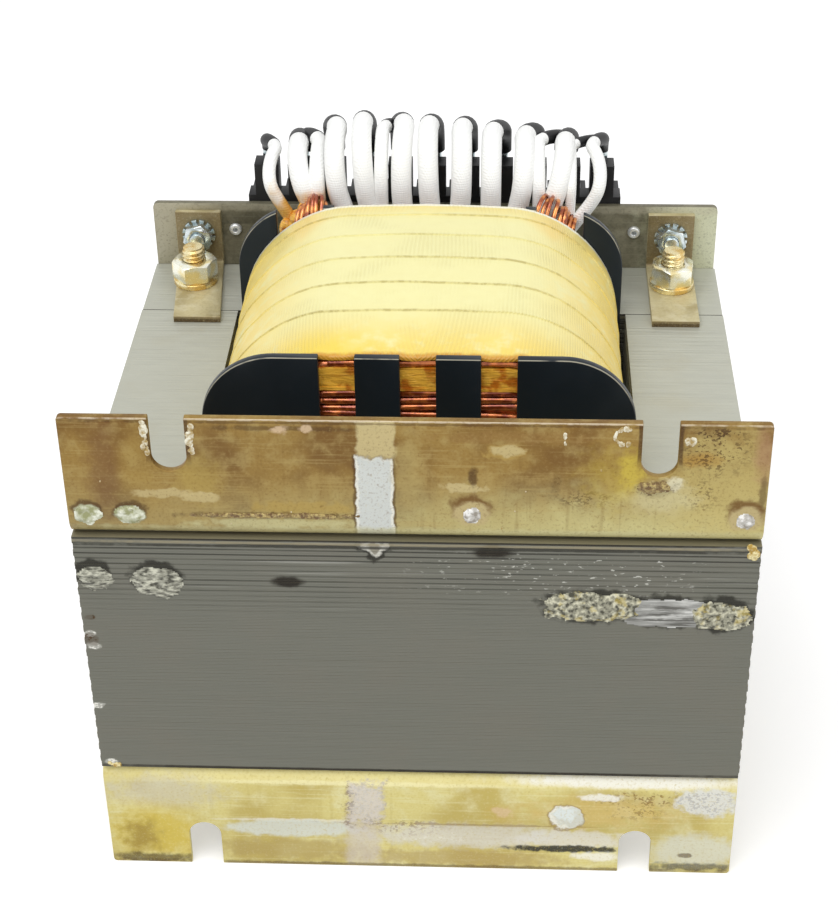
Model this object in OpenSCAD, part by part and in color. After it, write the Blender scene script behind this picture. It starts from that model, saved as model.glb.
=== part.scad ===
// Multi-tap power transformer: an interleaved E-I core, a coil wound on a moulded former,
// two slotted mounting brackets and a rear plate that carries a barrier terminal block.
// Millimetres. +X runs along the core, +Y towards the terminals, +Z up.
// The origin is on the standing plane, under the middle of the part's box.

/* [Core] */
// Width of the centre leg (the lamination is a scrapless one, so its other widths follow from it)
tongue_w = 54; // [50:0.5:58]
// Height of the stack of laminations
stack_h = 72.6; // [60:0.2:85]
// Thickness of one interleaved packet of laminations
packet_t = 1.9; // [1.6:0.1:6]
// How far the I bars stand back from the edges of the E's
bar_inset = 0.15; // [0.05:0.05:0.4]
// Diameter of the four bolt holes through the core
core_hole_d = 7.2; // [6.8:0.1:9]

/* [Brackets] */
// Thickness of the bracket sheet
bracket_t = 1.9; // [1.2:0.1:3]
// Height of the upright flange above or below the core
bracket_h = 33.6; // [30:0.2:40]
// Width of the flange that lies on the core
bracket_foot = 25; // [20:0.5:26]
// Inner radius of the bend
bend_r = 2.6; // [1:0.1:4]
// Radius of the upright flange's outer corners
bracket_corner_r = 1; // [0.5:0.1:4]
// Width of the open mounting slots
slot_w = 8.3; // [6:0.1:11]
// Depth of the open mounting slots, from the edge of the flange to the round end
slot_depth = 14.5; // [10:0.5:20]
// Distance between the two slots of one bracket
slot_spacing = 112; // [90:1:130]

/* [Terminal plate] */
// How far the plate's ends stand back from the ends of the core
plate_inset = 0.5; // [0:0.25:6]
// Height of the plate
plate_h = 33.6; // [28:0.2:50]
// Height of the plate's upper edge above the core
plate_over = 19.5; // [18.5:0.5:26]
// Thickness of the plate
plate_t = 1.9; // [1.2:0.1:3]
// Radius of the plate's corners
plate_corner_r = 1.5; // [1:0.5:6]

/* [Plate clips] */
// Width of a clip
clip_w = 13; // [12:0.5:18]
// Length of the leg that lies on the core
clip_leg = 34; // [24:1:40]
// Height of the leg that lies on the plate
clip_h = 17.6; // [16.5:0.2:18.4]
// Thickness of the clip sheet
clip_t = 1.8; // [1:0.1:2.5]
// Inner radius of the clip's bend
clip_bend_r = 1; // [0.5:0.1:2]
// How far the free end of the left clip leans towards the coil
left_clip_lean = 3; // [0:0.2:4]
// How far the free end of the right clip leans towards the coil
right_clip_lean = 0; // [0:0.2:4]

/* [Fasteners] */
// Thread diameter of the core bolts
bolt_d = 6.35; // [5:0.05:6.6]
// Across flats of the core bolts' heads and nuts
bolt_af = 11.1; // [9.5:0.1:12]
// Height of the bolt heads
bolt_head_h = 4.2; // [3:0.1:5]
// Height of the core nuts
bolt_nut_h = 5.5; // [4:0.1:6.5]
// Bevel at the tip of the core bolts
bolt_tip_bevel = 0.6; // [0.3:0.1:1]
// Length of thread that stands above a core nut
bolt_tail = 4; // [1:0.5:6]
// Outer diameter of the lock washers
lock_washer_d = 12.4; // [11:0.1:12.8]
// Thickness of the lock washers
lock_washer_t = 1.6; // [1:0.1:2.2]
// Thread diameter of the clip screws
clip_screw_d = 4.1; // [3:0.1:4.6]
// Diameter of the clip screws' heads
clip_head_d = 8; // [6:0.1:8.4]
// Height of the clip screws' heads
clip_head_h = 2.6; // [1.5:0.1:3.5]
// Across flats of the clip nuts
clip_nut_af = 7.6; // [6.5:0.1:8.6]
// Height of the clip nuts
clip_nut_h = 3; // [2:0.1:4]
// Outer diameter of the toothed washers
star_washer_d = 9.4; // [8.8:0.1:10.5]
// Thickness of the toothed washers
star_washer_t = 0.9; // [0.5:0.1:1.4]
// Number of teeth of a toothed washer
star_teeth = 12; // [8:1:16]
// Height of the clip screws above the core
clip_screw_over = 10.8; // [10:0.1:11.5]
// Room between a screw and the hole or thread around it
thread_gap = 0.12; // [0.05:0.01:0.3]
// Room between the end of a clip screw and the core nut in front of it
clip_screw_gap = 0.25; // [0.1:0.05:1]

/* [Coil former] */
// Thickness of the former's flanges
flange_t = 2.4; // [1.6:0.1:3.2]
// Radius of the flanges' corners
flange_r = 18; // [10:0.5:22]
// Room between a flange and the outer legs of the core
flange_side_gap = 1.6; // [0.8:0.1:3]
// Wall of the former's tube
tube_wall = 2; // [1.2:0.1:3]
// Room between the former and the core's faces next to it
former_gap = 0.4; // [0.2:0.1:1]
// Room between the coil's flanges and the standing plane
former_lift = 0.3; // [0.1:0.1:1]
// Width of the three front flange slots
front_slot_w = 8.6; // [6:0.2:12]
// Distance between the front flange slots
front_slot_pitch = 19.4; // [16:0.2:24]
// Width of the middle rear flange slot
rear_middle_slot_w = 20.4; // [18:0.2:24]
// Width of the other four rear flange slots
rear_slot_w = 12.6; // [12:0.2:14]
// Width of the bars between the rear flange slots
rear_bar_w = 3; // [2:0.2:4]
// Height of the flange slots' floor above the core
flange_slot_floor = 6; // [4:0.5:8]

/* [Windings] */
// Room between the coil's tape and the outer legs of the core
coil_side_gap = 2.8; // [2:0.1:5]
// Corner radius of the finished coil
coil_r = 30; // [14:0.5:32]
// Diameter of the primary wire
primary_wire_d = 1.9; // [1.2:0.1:2.6]
// Build of the amber wrap between the windings
wrap_build = 0.7; // [0.4:0.1:1.5]
// Build of the outer winding, at the core's sides
secondary_build = 5.6; // [4.5:0.1:7]
// Build of the outer winding that stays behind margin tape
margin_build = 3.8; // [2.5:0.1:4]
// Width of the margin tape at each end
margin_w = 4; // [2:0.5:8]
// Build of the outer tape
tape_build = 1.1; // [0.8:0.1:1.6]
// Number of turns of the outer tape side by side
tape_turns = 7; // [4:1:10]
// Width of the lap between two turns of tape
tape_lap = 2.4; // [1:0.2:4]
// Height of the lap
tape_step = 0.25; // [0.1:0.05:0.3]
// How far the tape stands above its front end where it is highest
tape_crown = 3.6; // [0:0.2:5]
// Room between one layer and the next
layer_gap = 0.1; // [0.05:0.05:0.2]

/* [Terminal block] */
// Thickness of the block's slab
slab_t = 6; // [5:0.5:8]
// Height of the slab's lower edge above the core
slab_low = 1; // [0:0.5:3]
// Height of the slab's upper edge above the core
slab_high = 21.5; // [20:0.5:22]
// Height of the towers' upper edge above the core, one tower for each lead
tower_high = 31; // [29:0.5:31.5]
// Width of a tower
tower_w = 6.8; // [6.4:0.1:7.6]
// Height of the barriers' upper edge above the core
barrier_high = 19; // [15:0.5:20]
// How far the barriers stand out from the slab
barrier_out = 10; // [8.5:0.5:14]
// Thickness of a barrier
barrier_t = 1.5; // [1:0.1:1.8]
// Thickness of the block's ears
ear_t = 4; // [2.5:0.5:5]
// Distance from the last terminal to the rivet of the ear beside it
ear_reach = 9.6; // [9:0.1:10.4]
// Distance from the edge of a clip to the rivet beside it
rivet_clip_gap = 3.9; // [3.6:0.1:6]
// Room between an ear and the head of the clip screw beside it
ear_screw_gap = 0.4; // [0.2:0.1:1.5]
// Height of the ear rivets above the core
rivet_over = 11.5; // [9.5:0.5:12]
// Diameter of the ear rivets' shank
rivet_d = 2.8; // [2.2:0.1:3.4]
// Height of the upper terminal screws above the core
upper_screw_over = 24; // [23:0.5:25]
// Height of the lower terminal screws above the core
lower_screw_over = 10; // [8:0.5:12]
// Diameter of a terminal screw's head
terminal_head_d = 6; // [5:0.1:6.4]
// Diameter of a terminal screw's shank
terminal_screw_d = 3.4; // [2.5:0.1:3.6]
// Thickness of the terminal straps
strap_t = 1; // [0.6:0.1:1.4]
// Width of the terminal straps
strap_w = 6.2; // [5:0.1:6.4]

/* [Leads] */
// Diameter of the inner nine leads' sleeving
sleeve_d = 5.6; // [4:0.1:5.8]
// Diameter of the two outer leads' sleeving
thin_sleeve_d = 3.6; // [3:0.1:4.5]
// Extra diameter of the black boots over the sleeving
boot_extra = 0.3; // [0.1:0.1:0.5]
// Diameter of one strand of the bare copper tails
strand_d = 1.8; // [1.2:0.1:2]
// Height above the core at which the leads leave the coil
lead_exit_over = 13; // [11:0.5:15]
// Distance from the back of the former's window to the start of the leads' bend
lead_exit_gap = 1.6; // [0.8:0.1:2.4]
// Radius of the leads' bend behind the coil
lead_bend_r = 8; // [6:0.5:9]
// Height above the core at which the boots end
boot_end_over = 32; // [31.5:0.5:34]
// Thickness of the ring lugs' tongue
lug_t = 0.8; // [0.5:0.1:1.2]
// Diameter of the ring lugs' barrel
lug_barrel_d = 4; // [3:0.1:4.4]
// Length of the ring lugs' barrel
lug_barrel_l = 4; // [3:0.1:4.6]
// Width of the ring lugs' tongue
lug_tongue_w = 3.2; // [2.4:0.1:4]
// Room between a lug's ring and the edges of its strap
lug_ring_gap = 0.1; // [0.05:0.05:0.5]

/* [Hidden] */
$fn = 48;
eps = 0.01;
cut = 10; // how far a cutting shape runs past what it cuts
lead_count = 11;

// Core: the scrapless E-I pattern
leg_w = tongue_w / 2;
core_w = 3 * tongue_w;
core_d = 2.5 * tongue_w;
packets = 2 * round(stack_h / packet_t / 2);
packet_h = stack_h / packets;
z_bottom = bracket_h;
z_top = bracket_h + stack_h;
z_mid = bracket_h + stack_h / 2;
bolt_x = core_w / 2 - leg_w / 2;
bolt_y_front = leg_w / 2;
bolt_y_back = core_d - leg_w / 2;

// Former: the tube sits on the centre leg, between the yokes
former_y0 = leg_w + former_gap;
former_y1 = core_d - leg_w - former_gap;
flange_w = 2 * (tongue_w - flange_side_gap);
flange_over = bracket_h - former_lift;
tube_a = tongue_w / 2 + former_gap + tube_wall;
tube_b = stack_h / 2 + former_gap + tube_wall;
tube_r = 3;
rear_inner = rear_middle_slot_w / 2 + rear_bar_w + rear_slot_w / 2;
rear_outer = rear_inner + rear_bar_w + rear_slot_w;
rear_slots = [-rear_outer, -rear_inner, 0, rear_inner, rear_outer];

// Coil: nested outlines that grow from the tube to the finished coil
wind_gap = 0.2;
wind_y0 = former_y0 + flange_t + wind_gap;
wind_y1 = former_y1 - flange_t - wind_gap;
coil_a = tongue_w - coil_side_gap;
coil_b = stack_h / 2 + flange_over - tape_step;
coil_build = coil_a - tube_a;
primary_build = coil_build - wrap_build - secondary_build - tape_build;
wrap_at = primary_build;
secondary_at = wrap_at + wrap_build;
margin_end = secondary_at + margin_build;
tape_at = secondary_at + secondary_build;
bulge = (coil_b - tube_b) / coil_build;
primary_layers = floor(primary_build * bulge / primary_wire_d);
secondary_layers = max(1, floor((secondary_build - margin_build) * bulge / primary_wire_d));
crown_at = 0.62; // where the tape is highest, as a share of the coil's length
turn_slices = 3; // steps in which one turn of tape follows the crown

// Terminal plate and block: the block fits between the two clips
plate_w = core_w - 2 * plate_inset;
plate_back = core_d + plate_t;
slab_y1 = plate_back + slab_t;
strap_y1 = slab_y1 + strap_t;
depth = slab_y1 + barrier_out;
rivet_spacing = 2 * (bolt_x - clip_w / 2 - rivet_clip_gap);
terminal_pitch = (rivet_spacing - 2 * ear_reach) / (lead_count - 1);
block_half = lead_count * terminal_pitch / 2 + barrier_t / 2;
ear_r = clip_w / 2 + rivet_clip_gap - clip_head_d / 2 - ear_screw_gap;
terminal_hole_depth = slab_t - 1;
terminal_head_h = 2.2;
rivet_z = z_top + rivet_over;

// Leads: the rear slot of each one and its place in it, how far the top of its arch lies beside its
// terminal and above the boot's end, and how far it bows sideways on the way up
lead_slot = [0, 0, 1, 1, 2, 2, 2, 3, 3, 4, 4];
lead_in_slot = [-2.5, 3.5, -3.2, 3, -7.2, 0, 7.2, -3.2, 3.2, -3.5, 3];
lead_lean = [3.5, 0.5, 2, -0.5, 1.7, -1.2, -1.5, -2.6, -3.1, -1.4, -3.3];
lead_rise = [6, 7, 12, 13.5, 13, 12.5, 11.8, 10.6, 9.6, 7.8, 7.4];
lead_bow = [-2.5, 0, -1, 0, -0.6, 0, 0.6, 0, 0.6, 0, 4];
tail_leads = [2, 10];
rise_y = core_d - leg_w + lead_bend_r + lead_exit_gap;
fall_y = strap_y1 + lug_barrel_d / 2;
arch_y = (rise_y + fall_y) / 2;
arch_half = (fall_y - rise_y) / 2;
exit_z = z_top + lead_exit_over;
end_z = z_top + boot_end_over;

// A rectangle with round corners, from squares and circles so that its arcs stay true
module rounded_rect(w, h, r) {
    square([w - 2 * r, h], center = true);
    square([w, h - 2 * r], center = true);
    for (sx = [-1, 1], sy = [-1, 1])
        translate([sx * (w / 2 - r), sy * (h / 2 - r)])
            circle(r);
}

// An outline in the X-Z plane, made solid from y0 to y1
module along_y(y0, y1) {
    translate([0, y1, 0])
        rotate([90, 0, 0])
            linear_extrude(y1 - y0)
                children();
}

// An outline in the Y-Z plane, made solid over a width centred on X
module along_x(w) {
    rotate([90, 0, 90])
        linear_extrude(w, center = true)
            children();
}

// The section of a bent sheet: two legs of thickness t from a rounded outer corner at the origin
module bent_section(leg_1, leg_2, t, r) {
    outer = r + t;
    translate([outer - eps, 0])
        square([leg_1 - outer + eps, t]);
    translate([0, outer - eps])
        square([t, leg_2 - outer + eps]);
    translate([outer, outer])
        intersection() {
            difference() {
                circle(outer);
                circle(r);
            }
            translate([-outer, -outer])
                square(outer);
        }
}

// The holes for all four core bolts
module core_holes() {
    for (sx = [-1, 1], y = [bolt_y_front, bolt_y_back])
        translate([sx * bolt_x, y, z_bottom - cut])
            cylinder(h = stack_h + 2 * cut, d = core_hole_d);
}

// Whether the E of packet k has its yoke at the front; the topmost one does
function yoke_in_front(k) = (packets - 1 - k) % 2 == 0;

// The E laminations: three legs, with the yokes of the packets at the front and back in turn
module e_laminations() {
    color([0.42, 0.40, 0.38])
    difference() {
        union() {
            for (x = [-core_w / 2, -tongue_w / 2, core_w / 2 - leg_w])
                translate([x, leg_w, z_bottom])
                    cube([x == -tongue_w / 2 ? tongue_w : leg_w, core_d - 2 * leg_w, stack_h]);
            for (k = [0:packets - 1])
                translate([-core_w / 2, yoke_in_front(k) ? 0 : core_d - leg_w, z_bottom + k * packet_h])
                    cube([core_w, leg_w, packet_h]);
        }
        core_holes();
    }
}

// The I laminations: a bar opposite each yoke
module i_laminations() {
    color([0.50, 0.48, 0.45])
    difference() {
        for (k = [0:packets - 1])
            translate([-core_w / 2 + bar_inset, yoke_in_front(k) ? core_d - leg_w : bar_inset,
                       z_bottom + k * packet_h])
                cube([core_w - 2 * bar_inset, leg_w - bar_inset, packet_h]);
        core_holes();
    }
}

// The front outline of a bracket: its free corners are rounded
module bracket_outline() {
    r = bracket_corner_r;
    translate([-core_w / 2, 0])
        square([core_w, bracket_h - r]);
    translate([-core_w / 2 + r, 0])
        square([core_w - 2 * r, bracket_h]);
    for (sx = [-1, 1])
        translate([sx * (core_w / 2 - r), bracket_h - r])
            circle(r);
}

// One open slot of a bracket, from its round end out past the free edge
module open_slot() {
    end_z_slot = bracket_h - slot_depth + slot_w / 2;
    translate([0, end_z_slot])
        circle(d = slot_w);
    translate([-slot_w / 2, end_z_slot])
        square([slot_w, slot_depth + cut]);
}

// The upper bracket: a bent angle whose upright flange is flush with the core's front face
module bracket_shape() {
    difference() {
        translate([0, 0, z_top])
            intersection() {
                along_x(core_w)
                    bent_section(bracket_foot, bracket_h, bracket_t, bend_r);
                along_y(-1, bracket_foot + 1)
                    bracket_outline();
            }
        for (sx = [-1, 1])
            translate([sx * slot_spacing / 2, 0, z_top])
                along_y(-1, bracket_t + bend_r + 1)
                    open_slot();
        core_holes();
    }
}

module upper_bracket() {
    color([0.56, 0.49, 0.33])
        bracket_shape();
}

module lower_bracket() {
    color([0.58, 0.51, 0.34])
        translate([0, 0, 2 * z_mid])
            mirror([0, 0, 1])
                bracket_shape();
}

// The terminal plate stands against the core's back face
module terminal_plate() {
    color([0.47, 0.43, 0.39])
    difference() {
        translate([0, 0, z_top + plate_over - plate_h / 2])
            along_y(core_d, plate_back)
                rounded_rect(plate_w, plate_h, plate_corner_r);
        for (sx = [-1, 1])
            translate([sx * bolt_x, core_d - 1, z_top + clip_screw_over])
                rotate([-90, 0, 0])
                    cylinder(h = plate_t + 2, d = clip_screw_d + 2 * thread_gap);
        for (sx = [-1, 1])
            translate([sx * rivet_spacing / 2, core_d - 1, rivet_z])
                rotate([-90, 0, 0])
                    cylinder(h = plate_t + 2, d = rivet_d + 2 * thread_gap);
    }
}

// A clip: one leg under a core nut, the other behind a clip nut. Seen from above, its edges lean
module plate_clip(side, lean) {
    bend = clip_t + clip_bend_r;
    color([0.62, 0.54, 0.36])
    difference() {
        translate([side * bolt_x, core_d, z_top])
            intersection() {
                mirror([0, 1, 0])
                    along_x(clip_w + 2 * lean + 1)
                        bent_section(clip_leg, clip_h, clip_t, clip_bend_r);
                translate([0, 0, -1])
                    linear_extrude(clip_h + 2)
                        polygon([[-clip_w / 2, 1], [clip_w / 2, 1], [clip_w / 2, -bend],
                                 [clip_w / 2 - side * lean, -clip_leg - 1],
                                 [-clip_w / 2 - side * lean, -clip_leg - 1], [-clip_w / 2, -bend]]);
            }
        core_holes();
        translate([side * bolt_x, core_d - clip_t - 1, z_top + clip_screw_over])
            rotate([-90, 0, 0])
                cylinder(h = clip_t + 2, d = clip_screw_d + 2 * thread_gap);
    }
}

// A hexagonal prism with its corners bevelled at the top, and at the bottom where both is true
module bevelled_hex(af, h, both) {
    bevel = 0.08 * af;
    fall = bevel * tan(30);
    corner_r = af / sqrt(3);
    intersection() {
        cylinder(h = h, r = corner_r, $fn = 6);
        rotate_extrude()
            polygon([[0, 0], [both ? corner_r - bevel : corner_r + eps, 0], [corner_r + eps, both ? fall : 0],
                     [corner_r + eps, h - fall], [corner_r - bevel, h], [0, h]]);
    }
}

// Where the four bolts stand, each with the seat of its head and of its lock washer
bolt_seats = [
    [-bolt_x, bolt_y_front, z_bottom - bracket_t, z_top + bracket_t],
    [bolt_x, bolt_y_front, z_bottom - bracket_t, z_top + bracket_t],
    [-bolt_x, bolt_y_back, z_bottom, z_top + clip_t],
    [bolt_x, bolt_y_back, z_bottom, z_top + clip_t]
];

module core_bolts() {
    color([0.70, 0.60, 0.32])
    for (s = bolt_seats) {
        tip = s[3] + lock_washer_t + bolt_nut_h + bolt_tail;
        translate([s[0], s[1], s[2]])
            mirror([0, 0, 1])
                bevelled_hex(bolt_af, bolt_head_h, false);
        translate([s[0], s[1], s[2] - eps])
            cylinder(h = tip - s[2] - bolt_tip_bevel + eps, d = bolt_d);
        translate([s[0], s[1], tip - bolt_tip_bevel])
            cylinder(h = bolt_tip_bevel, d1 = bolt_d, d2 = bolt_d - 2 * bolt_tip_bevel);
    }
}

// Split lock washers, their gap turned outwards
module core_lock_washers() {
    color([0.66, 0.60, 0.42])
    for (s = bolt_seats)
        translate([s[0], s[1], s[3]])
            difference() {
                cylinder(h = lock_washer_t, d = lock_washer_d);
                translate([0, 0, -1])
                    cylinder(h = lock_washer_t + 2, d = bolt_d + 2 * thread_gap + 0.2);
                rotate([0, 0, s[0] < 0 ? 150 : 30])
                    translate([0, -0.6, -1])
                        cube([lock_washer_d, 1.2, lock_washer_t + 2]);
            }
}

module core_nuts() {
    color([0.74, 0.64, 0.36])
    for (s = bolt_seats)
        translate([s[0], s[1], s[3] + lock_washer_t])
            rotate([0, 0, s[0] < 0 ? 12 : 22])
                difference() {
                    bevelled_hex(bolt_af, bolt_nut_h, true);
                    translate([0, 0, -1])
                        cylinder(h = bolt_nut_h + 2, d = bolt_d + 2 * thread_gap);
                }
}

// A turned screw along +Z: a round head below z = 0, slotted, and a plain shank above it
module slotted_screw(head_d, head_h, d, reach) {
    edge = 0.25 * head_h;
    difference() {
        rotate_extrude()
            polygon([[0, -head_h], [head_d / 2 - edge, -head_h], [head_d / 2, -head_h + edge],
                     [head_d / 2, 0], [d / 2, 0], [d / 2, reach], [0, reach]]);
        translate([-head_d, -0.5, -head_h - 1])
            cube([2 * head_d, 1, 1 + 0.45 * head_h]);
    }
}

// Clip screws: heads behind the plate, threads towards the front
module clip_screws() {
    reach = plate_t + leg_w / 2 - bolt_af / sqrt(3) - clip_screw_gap;
    color([0.78, 0.77, 0.74])
    for (sx = [-1, 1])
        translate([sx * bolt_x, plate_back, z_top + clip_screw_over])
            rotate([90, 20 * sx, 0])
                slotted_screw(clip_head_d, clip_head_h, clip_screw_d, reach);
}

// Toothed washers between the clips and their nuts
module clip_star_washers() {
    tooth_in = star_washer_d / 2 - 1.1;
    color([0.80, 0.80, 0.78])
    for (sx = [-1, 1])
        translate([sx * bolt_x, 0, z_top + clip_screw_over])
            along_y(core_d - clip_t - star_washer_t, core_d - clip_t)
                difference() {
                    circle(d = star_washer_d);
                    circle(d = clip_screw_d + 2 * thread_gap);
                    for (k = [0:star_teeth - 1])
                        rotate(k * 360 / star_teeth)
                            translate([tooth_in, -0.45])
                                square([3, 0.9]);
                }
}

module clip_nuts() {
    color([0.82, 0.82, 0.80])
    for (sx = [-1, 1])
        translate([sx * bolt_x, core_d - clip_t - star_washer_t, z_top + clip_screw_over])
            rotate([90, 15 * sx, 0])
                difference() {
                    bevelled_hex(clip_nut_af, clip_nut_h, false);
                    translate([0, 0, -1])
                        cylinder(h = clip_nut_h + 2, d = clip_screw_d + 2 * thread_gap);
                }
}

// A slot in a flange of the former, from its floor out past the upper edge
module flange_slot(x, w, y) {
    translate([x - w / 2, y - 1, z_top + flange_slot_floor])
        cube([w, flange_t + 2, flange_over + cut]);
}

// The coil former: a tube with two flanges, slotted at the top for the windings' ends
module coil_former() {
    color([0.13, 0.13, 0.14])
    difference() {
        translate([0, 0, z_mid]) {
            along_y(former_y0, former_y1)
                rounded_rect(2 * tube_a, 2 * tube_b, tube_r);
            for (y = [former_y0, former_y1 - flange_t])
                along_y(y, y + flange_t)
                    rounded_rect(flange_w, stack_h + 2 * flange_over, flange_r);
        }
        translate([0, 0, z_mid])
            along_y(former_y0 - 1, former_y1 + 1)
                square([tongue_w + 2 * former_gap, stack_h + 2 * former_gap], center = true);
        for (k = [-1:1])
            flange_slot(k * front_slot_pitch, front_slot_w, former_y0);
        for (x = rear_slots)
            flange_slot(x, x == 0 ? rear_middle_slot_w : rear_slot_w, former_y1 - flange_t);
    }
}

// The coil's outline at a build b over the tube
module coil_outline(b) {
    f = b / coil_build;
    rounded_rect(2 * (tube_a + f * (coil_a - tube_a)), 2 * (tube_b + f * (coil_b - tube_b)),
                 tube_r + f * (coil_r - tube_r));
}

// One layer of the coil, between two builds and two stations along the leg
module coil_ring(b0, b1, y0, y1) {
    translate([0, 0, z_mid])
        along_y(y0, y1)
            difference() {
                coil_outline(b1);
                coil_outline(b0);
            }
}

// The last turns of the layers, round wires across the top of the coil at both ends
module end_turns(b0, b1, layers) {
    step = (b1 - b0) / layers;
    r_wire = min(step * bulge, primary_wire_d) * 0.47;
    for (k = [0:layers - 1], y = [wind_y0 + primary_wire_d / 2, wind_y1 - primary_wire_d / 2]) {
        b = b0 + (k + 0.5) * step;
        f = b / coil_build;
        flat_w = 2 * (tube_a + b - tube_r - f * (coil_r - tube_r));
        translate([-flat_w / 2, y, z_mid + tube_b + b * bulge])
            rotate([0, 90, 0])
                cylinder(h = flat_w, r = r_wire);
    }
}

module primary_winding() {
    color([0.66, 0.38, 0.18]) {
        coil_ring(layer_gap, primary_build, wind_y0 + primary_wire_d / 2, wind_y1 - primary_wire_d / 2);
        end_turns(layer_gap, primary_build, primary_layers);
    }
}

module interwinding_wrap() {
    color([0.74, 0.50, 0.15])
        coil_ring(wrap_at + layer_gap, secondary_at, wind_y0, wind_y1);
}

// Margin tape fills the ends beside the inner layers of the outer winding
module margin_tape() {
    color([0.80, 0.57, 0.18])
    for (y = [wind_y0, wind_y1 - margin_w])
        coil_ring(secondary_at + layer_gap, margin_end, y, y + margin_w);
}

module secondary_winding() {
    end_in = primary_wire_d / 2;
    color([0.70, 0.40, 0.19]) {
        coil_ring(secondary_at + layer_gap, tape_at, wind_y0 + margin_w + layer_gap,
                  wind_y1 - margin_w - layer_gap);
        coil_ring(margin_end + layer_gap, tape_at, wind_y0 + end_in, wind_y1 - end_in);
        end_turns(margin_end + layer_gap, tape_at, secondary_layers);
    }
}

// How far the top of the tape is lifted at a share t of the coil's length
function tape_lift(t) = tape_crown * (1 - pow((t - crown_at) / crown_at, 2));

// A ring of tape between two stations, with its top lifted
module tape_ring(b, y0, y1, lift) {
    translate([0, 0, z_mid])
        along_y(y0, y1)
            difference() {
                union() {
                    coil_outline(b);
                    translate([0, lift])
                        coil_outline(b);
                }
                coil_outline(tape_at + layer_gap);
            }
}

// The outer tape: turns side by side over a crowned coil, with a raised lap where two of them meet
module outer_tape() {
    turn_w = (wind_y1 - wind_y0) / tape_turns;
    slices = tape_turns * turn_slices;
    slice_w = turn_w / turn_slices;
    color([0.86, 0.80, 0.56]) {
        for (k = [0:slices - 1])
            tape_ring(coil_build, wind_y0 + k * slice_w, wind_y0 + (k + 1) * slice_w,
                      tape_lift((k + 0.5) / slices));
        for (k = [1:tape_turns - 1])
            tape_ring(coil_build + tape_step / bulge, wind_y0 + k * turn_w - tape_lap / 2,
                      wind_y0 + k * turn_w + tape_lap / 2, tape_lift(k / tape_turns));
    }
}

// Where terminal i stands along the block
function terminal_x(i) = (i - (lead_count + 1) / 2) * terminal_pitch;

// The terminal block: a slab with riveted ears, a tower for each lead, barriers between the lower screws
module terminal_block() {
    color([0.10, 0.10, 0.11])
    difference() {
        union() {
            translate([-block_half, plate_back, z_top + slab_low])
                cube([2 * block_half, slab_t, slab_high - slab_low]);
            for (i = [1:lead_count])
                translate([terminal_x(i) - tower_w / 2, plate_back, z_top + slab_high - 1])
                    cube([tower_w, slab_t, tower_high - slab_high + 1]);
            translate([-rivet_spacing / 2, plate_back, rivet_z - ear_r])
                cube([rivet_spacing, ear_t, 2 * ear_r]);
            for (sx = [-1, 1])
                translate([sx * rivet_spacing / 2, plate_back, rivet_z])
                    rotate([-90, 0, 0])
                        cylinder(h = ear_t, r = ear_r);
            for (i = [0:lead_count])
                translate([terminal_x(i + 0.5) - barrier_t / 2, slab_y1 - 2, z_top + slab_low])
                    cube([barrier_t, barrier_out + 2, barrier_high - slab_low]);
        }
        for (sx = [-1, 1])
            translate([sx * rivet_spacing / 2, plate_back - 1, rivet_z])
                rotate([-90, 0, 0])
                    cylinder(h = ear_t + 2, d = rivet_d + 2 * thread_gap);
        for (i = [1:lead_count], over = [upper_screw_over, lower_screw_over])
            translate([terminal_x(i), slab_y1 - terminal_hole_depth, z_top + over])
                rotate([-90, 0, 0])
                    cylinder(h = slab_t, d = terminal_screw_d + 2 * thread_gap);
    }
}

// A brass strap joins the upper and lower screw of each terminal
module terminal_straps() {
    color([0.78, 0.64, 0.30])
    for (i = [1:lead_count])
        difference() {
            translate([terminal_x(i) - strap_w / 2, slab_y1, z_top + lower_screw_over - strap_w / 2])
                cube([strap_w, strap_t, upper_screw_over - lower_screw_over + strap_w]);
            for (over = [upper_screw_over, lower_screw_over])
                translate([terminal_x(i), slab_y1 - 1, z_top + over])
                    rotate([-90, 0, 0])
                        cylinder(h = strap_t + 2, d = terminal_screw_d + 2 * thread_gap);
        }
}

// Terminal screws: the upper ones clamp the lugs, the lower ones are free for the user's wires
module terminal_screws() {
    color([0.76, 0.74, 0.68])
    for (i = [1:lead_count]) {
        translate([terminal_x(i), strap_y1 + lug_t, z_top + upper_screw_over])
            rotate([90, (i * 37) % 90, 0])
                slotted_screw(terminal_head_d, terminal_head_h, terminal_screw_d,
                              strap_t + lug_t + terminal_hole_depth - 0.5);
        translate([terminal_x(i), strap_y1, z_top + lower_screw_over])
            rotate([90, (i * 53) % 90, 0])
                slotted_screw(terminal_head_d, terminal_head_h, terminal_screw_d,
                              strap_t + terminal_hole_depth - 0.5);
    }
}

// Hollow rivets hold the block's ears to the plate, their rolled ends to the front
module block_rivets() {
    grip = plate_t + ear_t;
    r = rivet_d / 2;
    color([0.85, 0.85, 0.84])
    for (sx = [-1, 1])
        translate([sx * rivet_spacing / 2, core_d, rivet_z])
            rotate([-90, 0, 0])
                rotate_extrude()
                    polygon([[0.5 * r, -0.7 * r], [1.15 * r, -0.6 * r], [1.35 * r, 0], [r, 0], [r, grip],
                             [2 * r, grip], [2 * r, grip + 0.35 * r], [1.3 * r, grip + 0.8 * r],
                             [0, grip + 0.8 * r], [0, r], [0.5 * r, r]]);
}

// A smooth step from 0 to 1
function ease(t) = let(c = min(max(t, 0), 1)) c * c * (3 - 2 * c);

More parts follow.
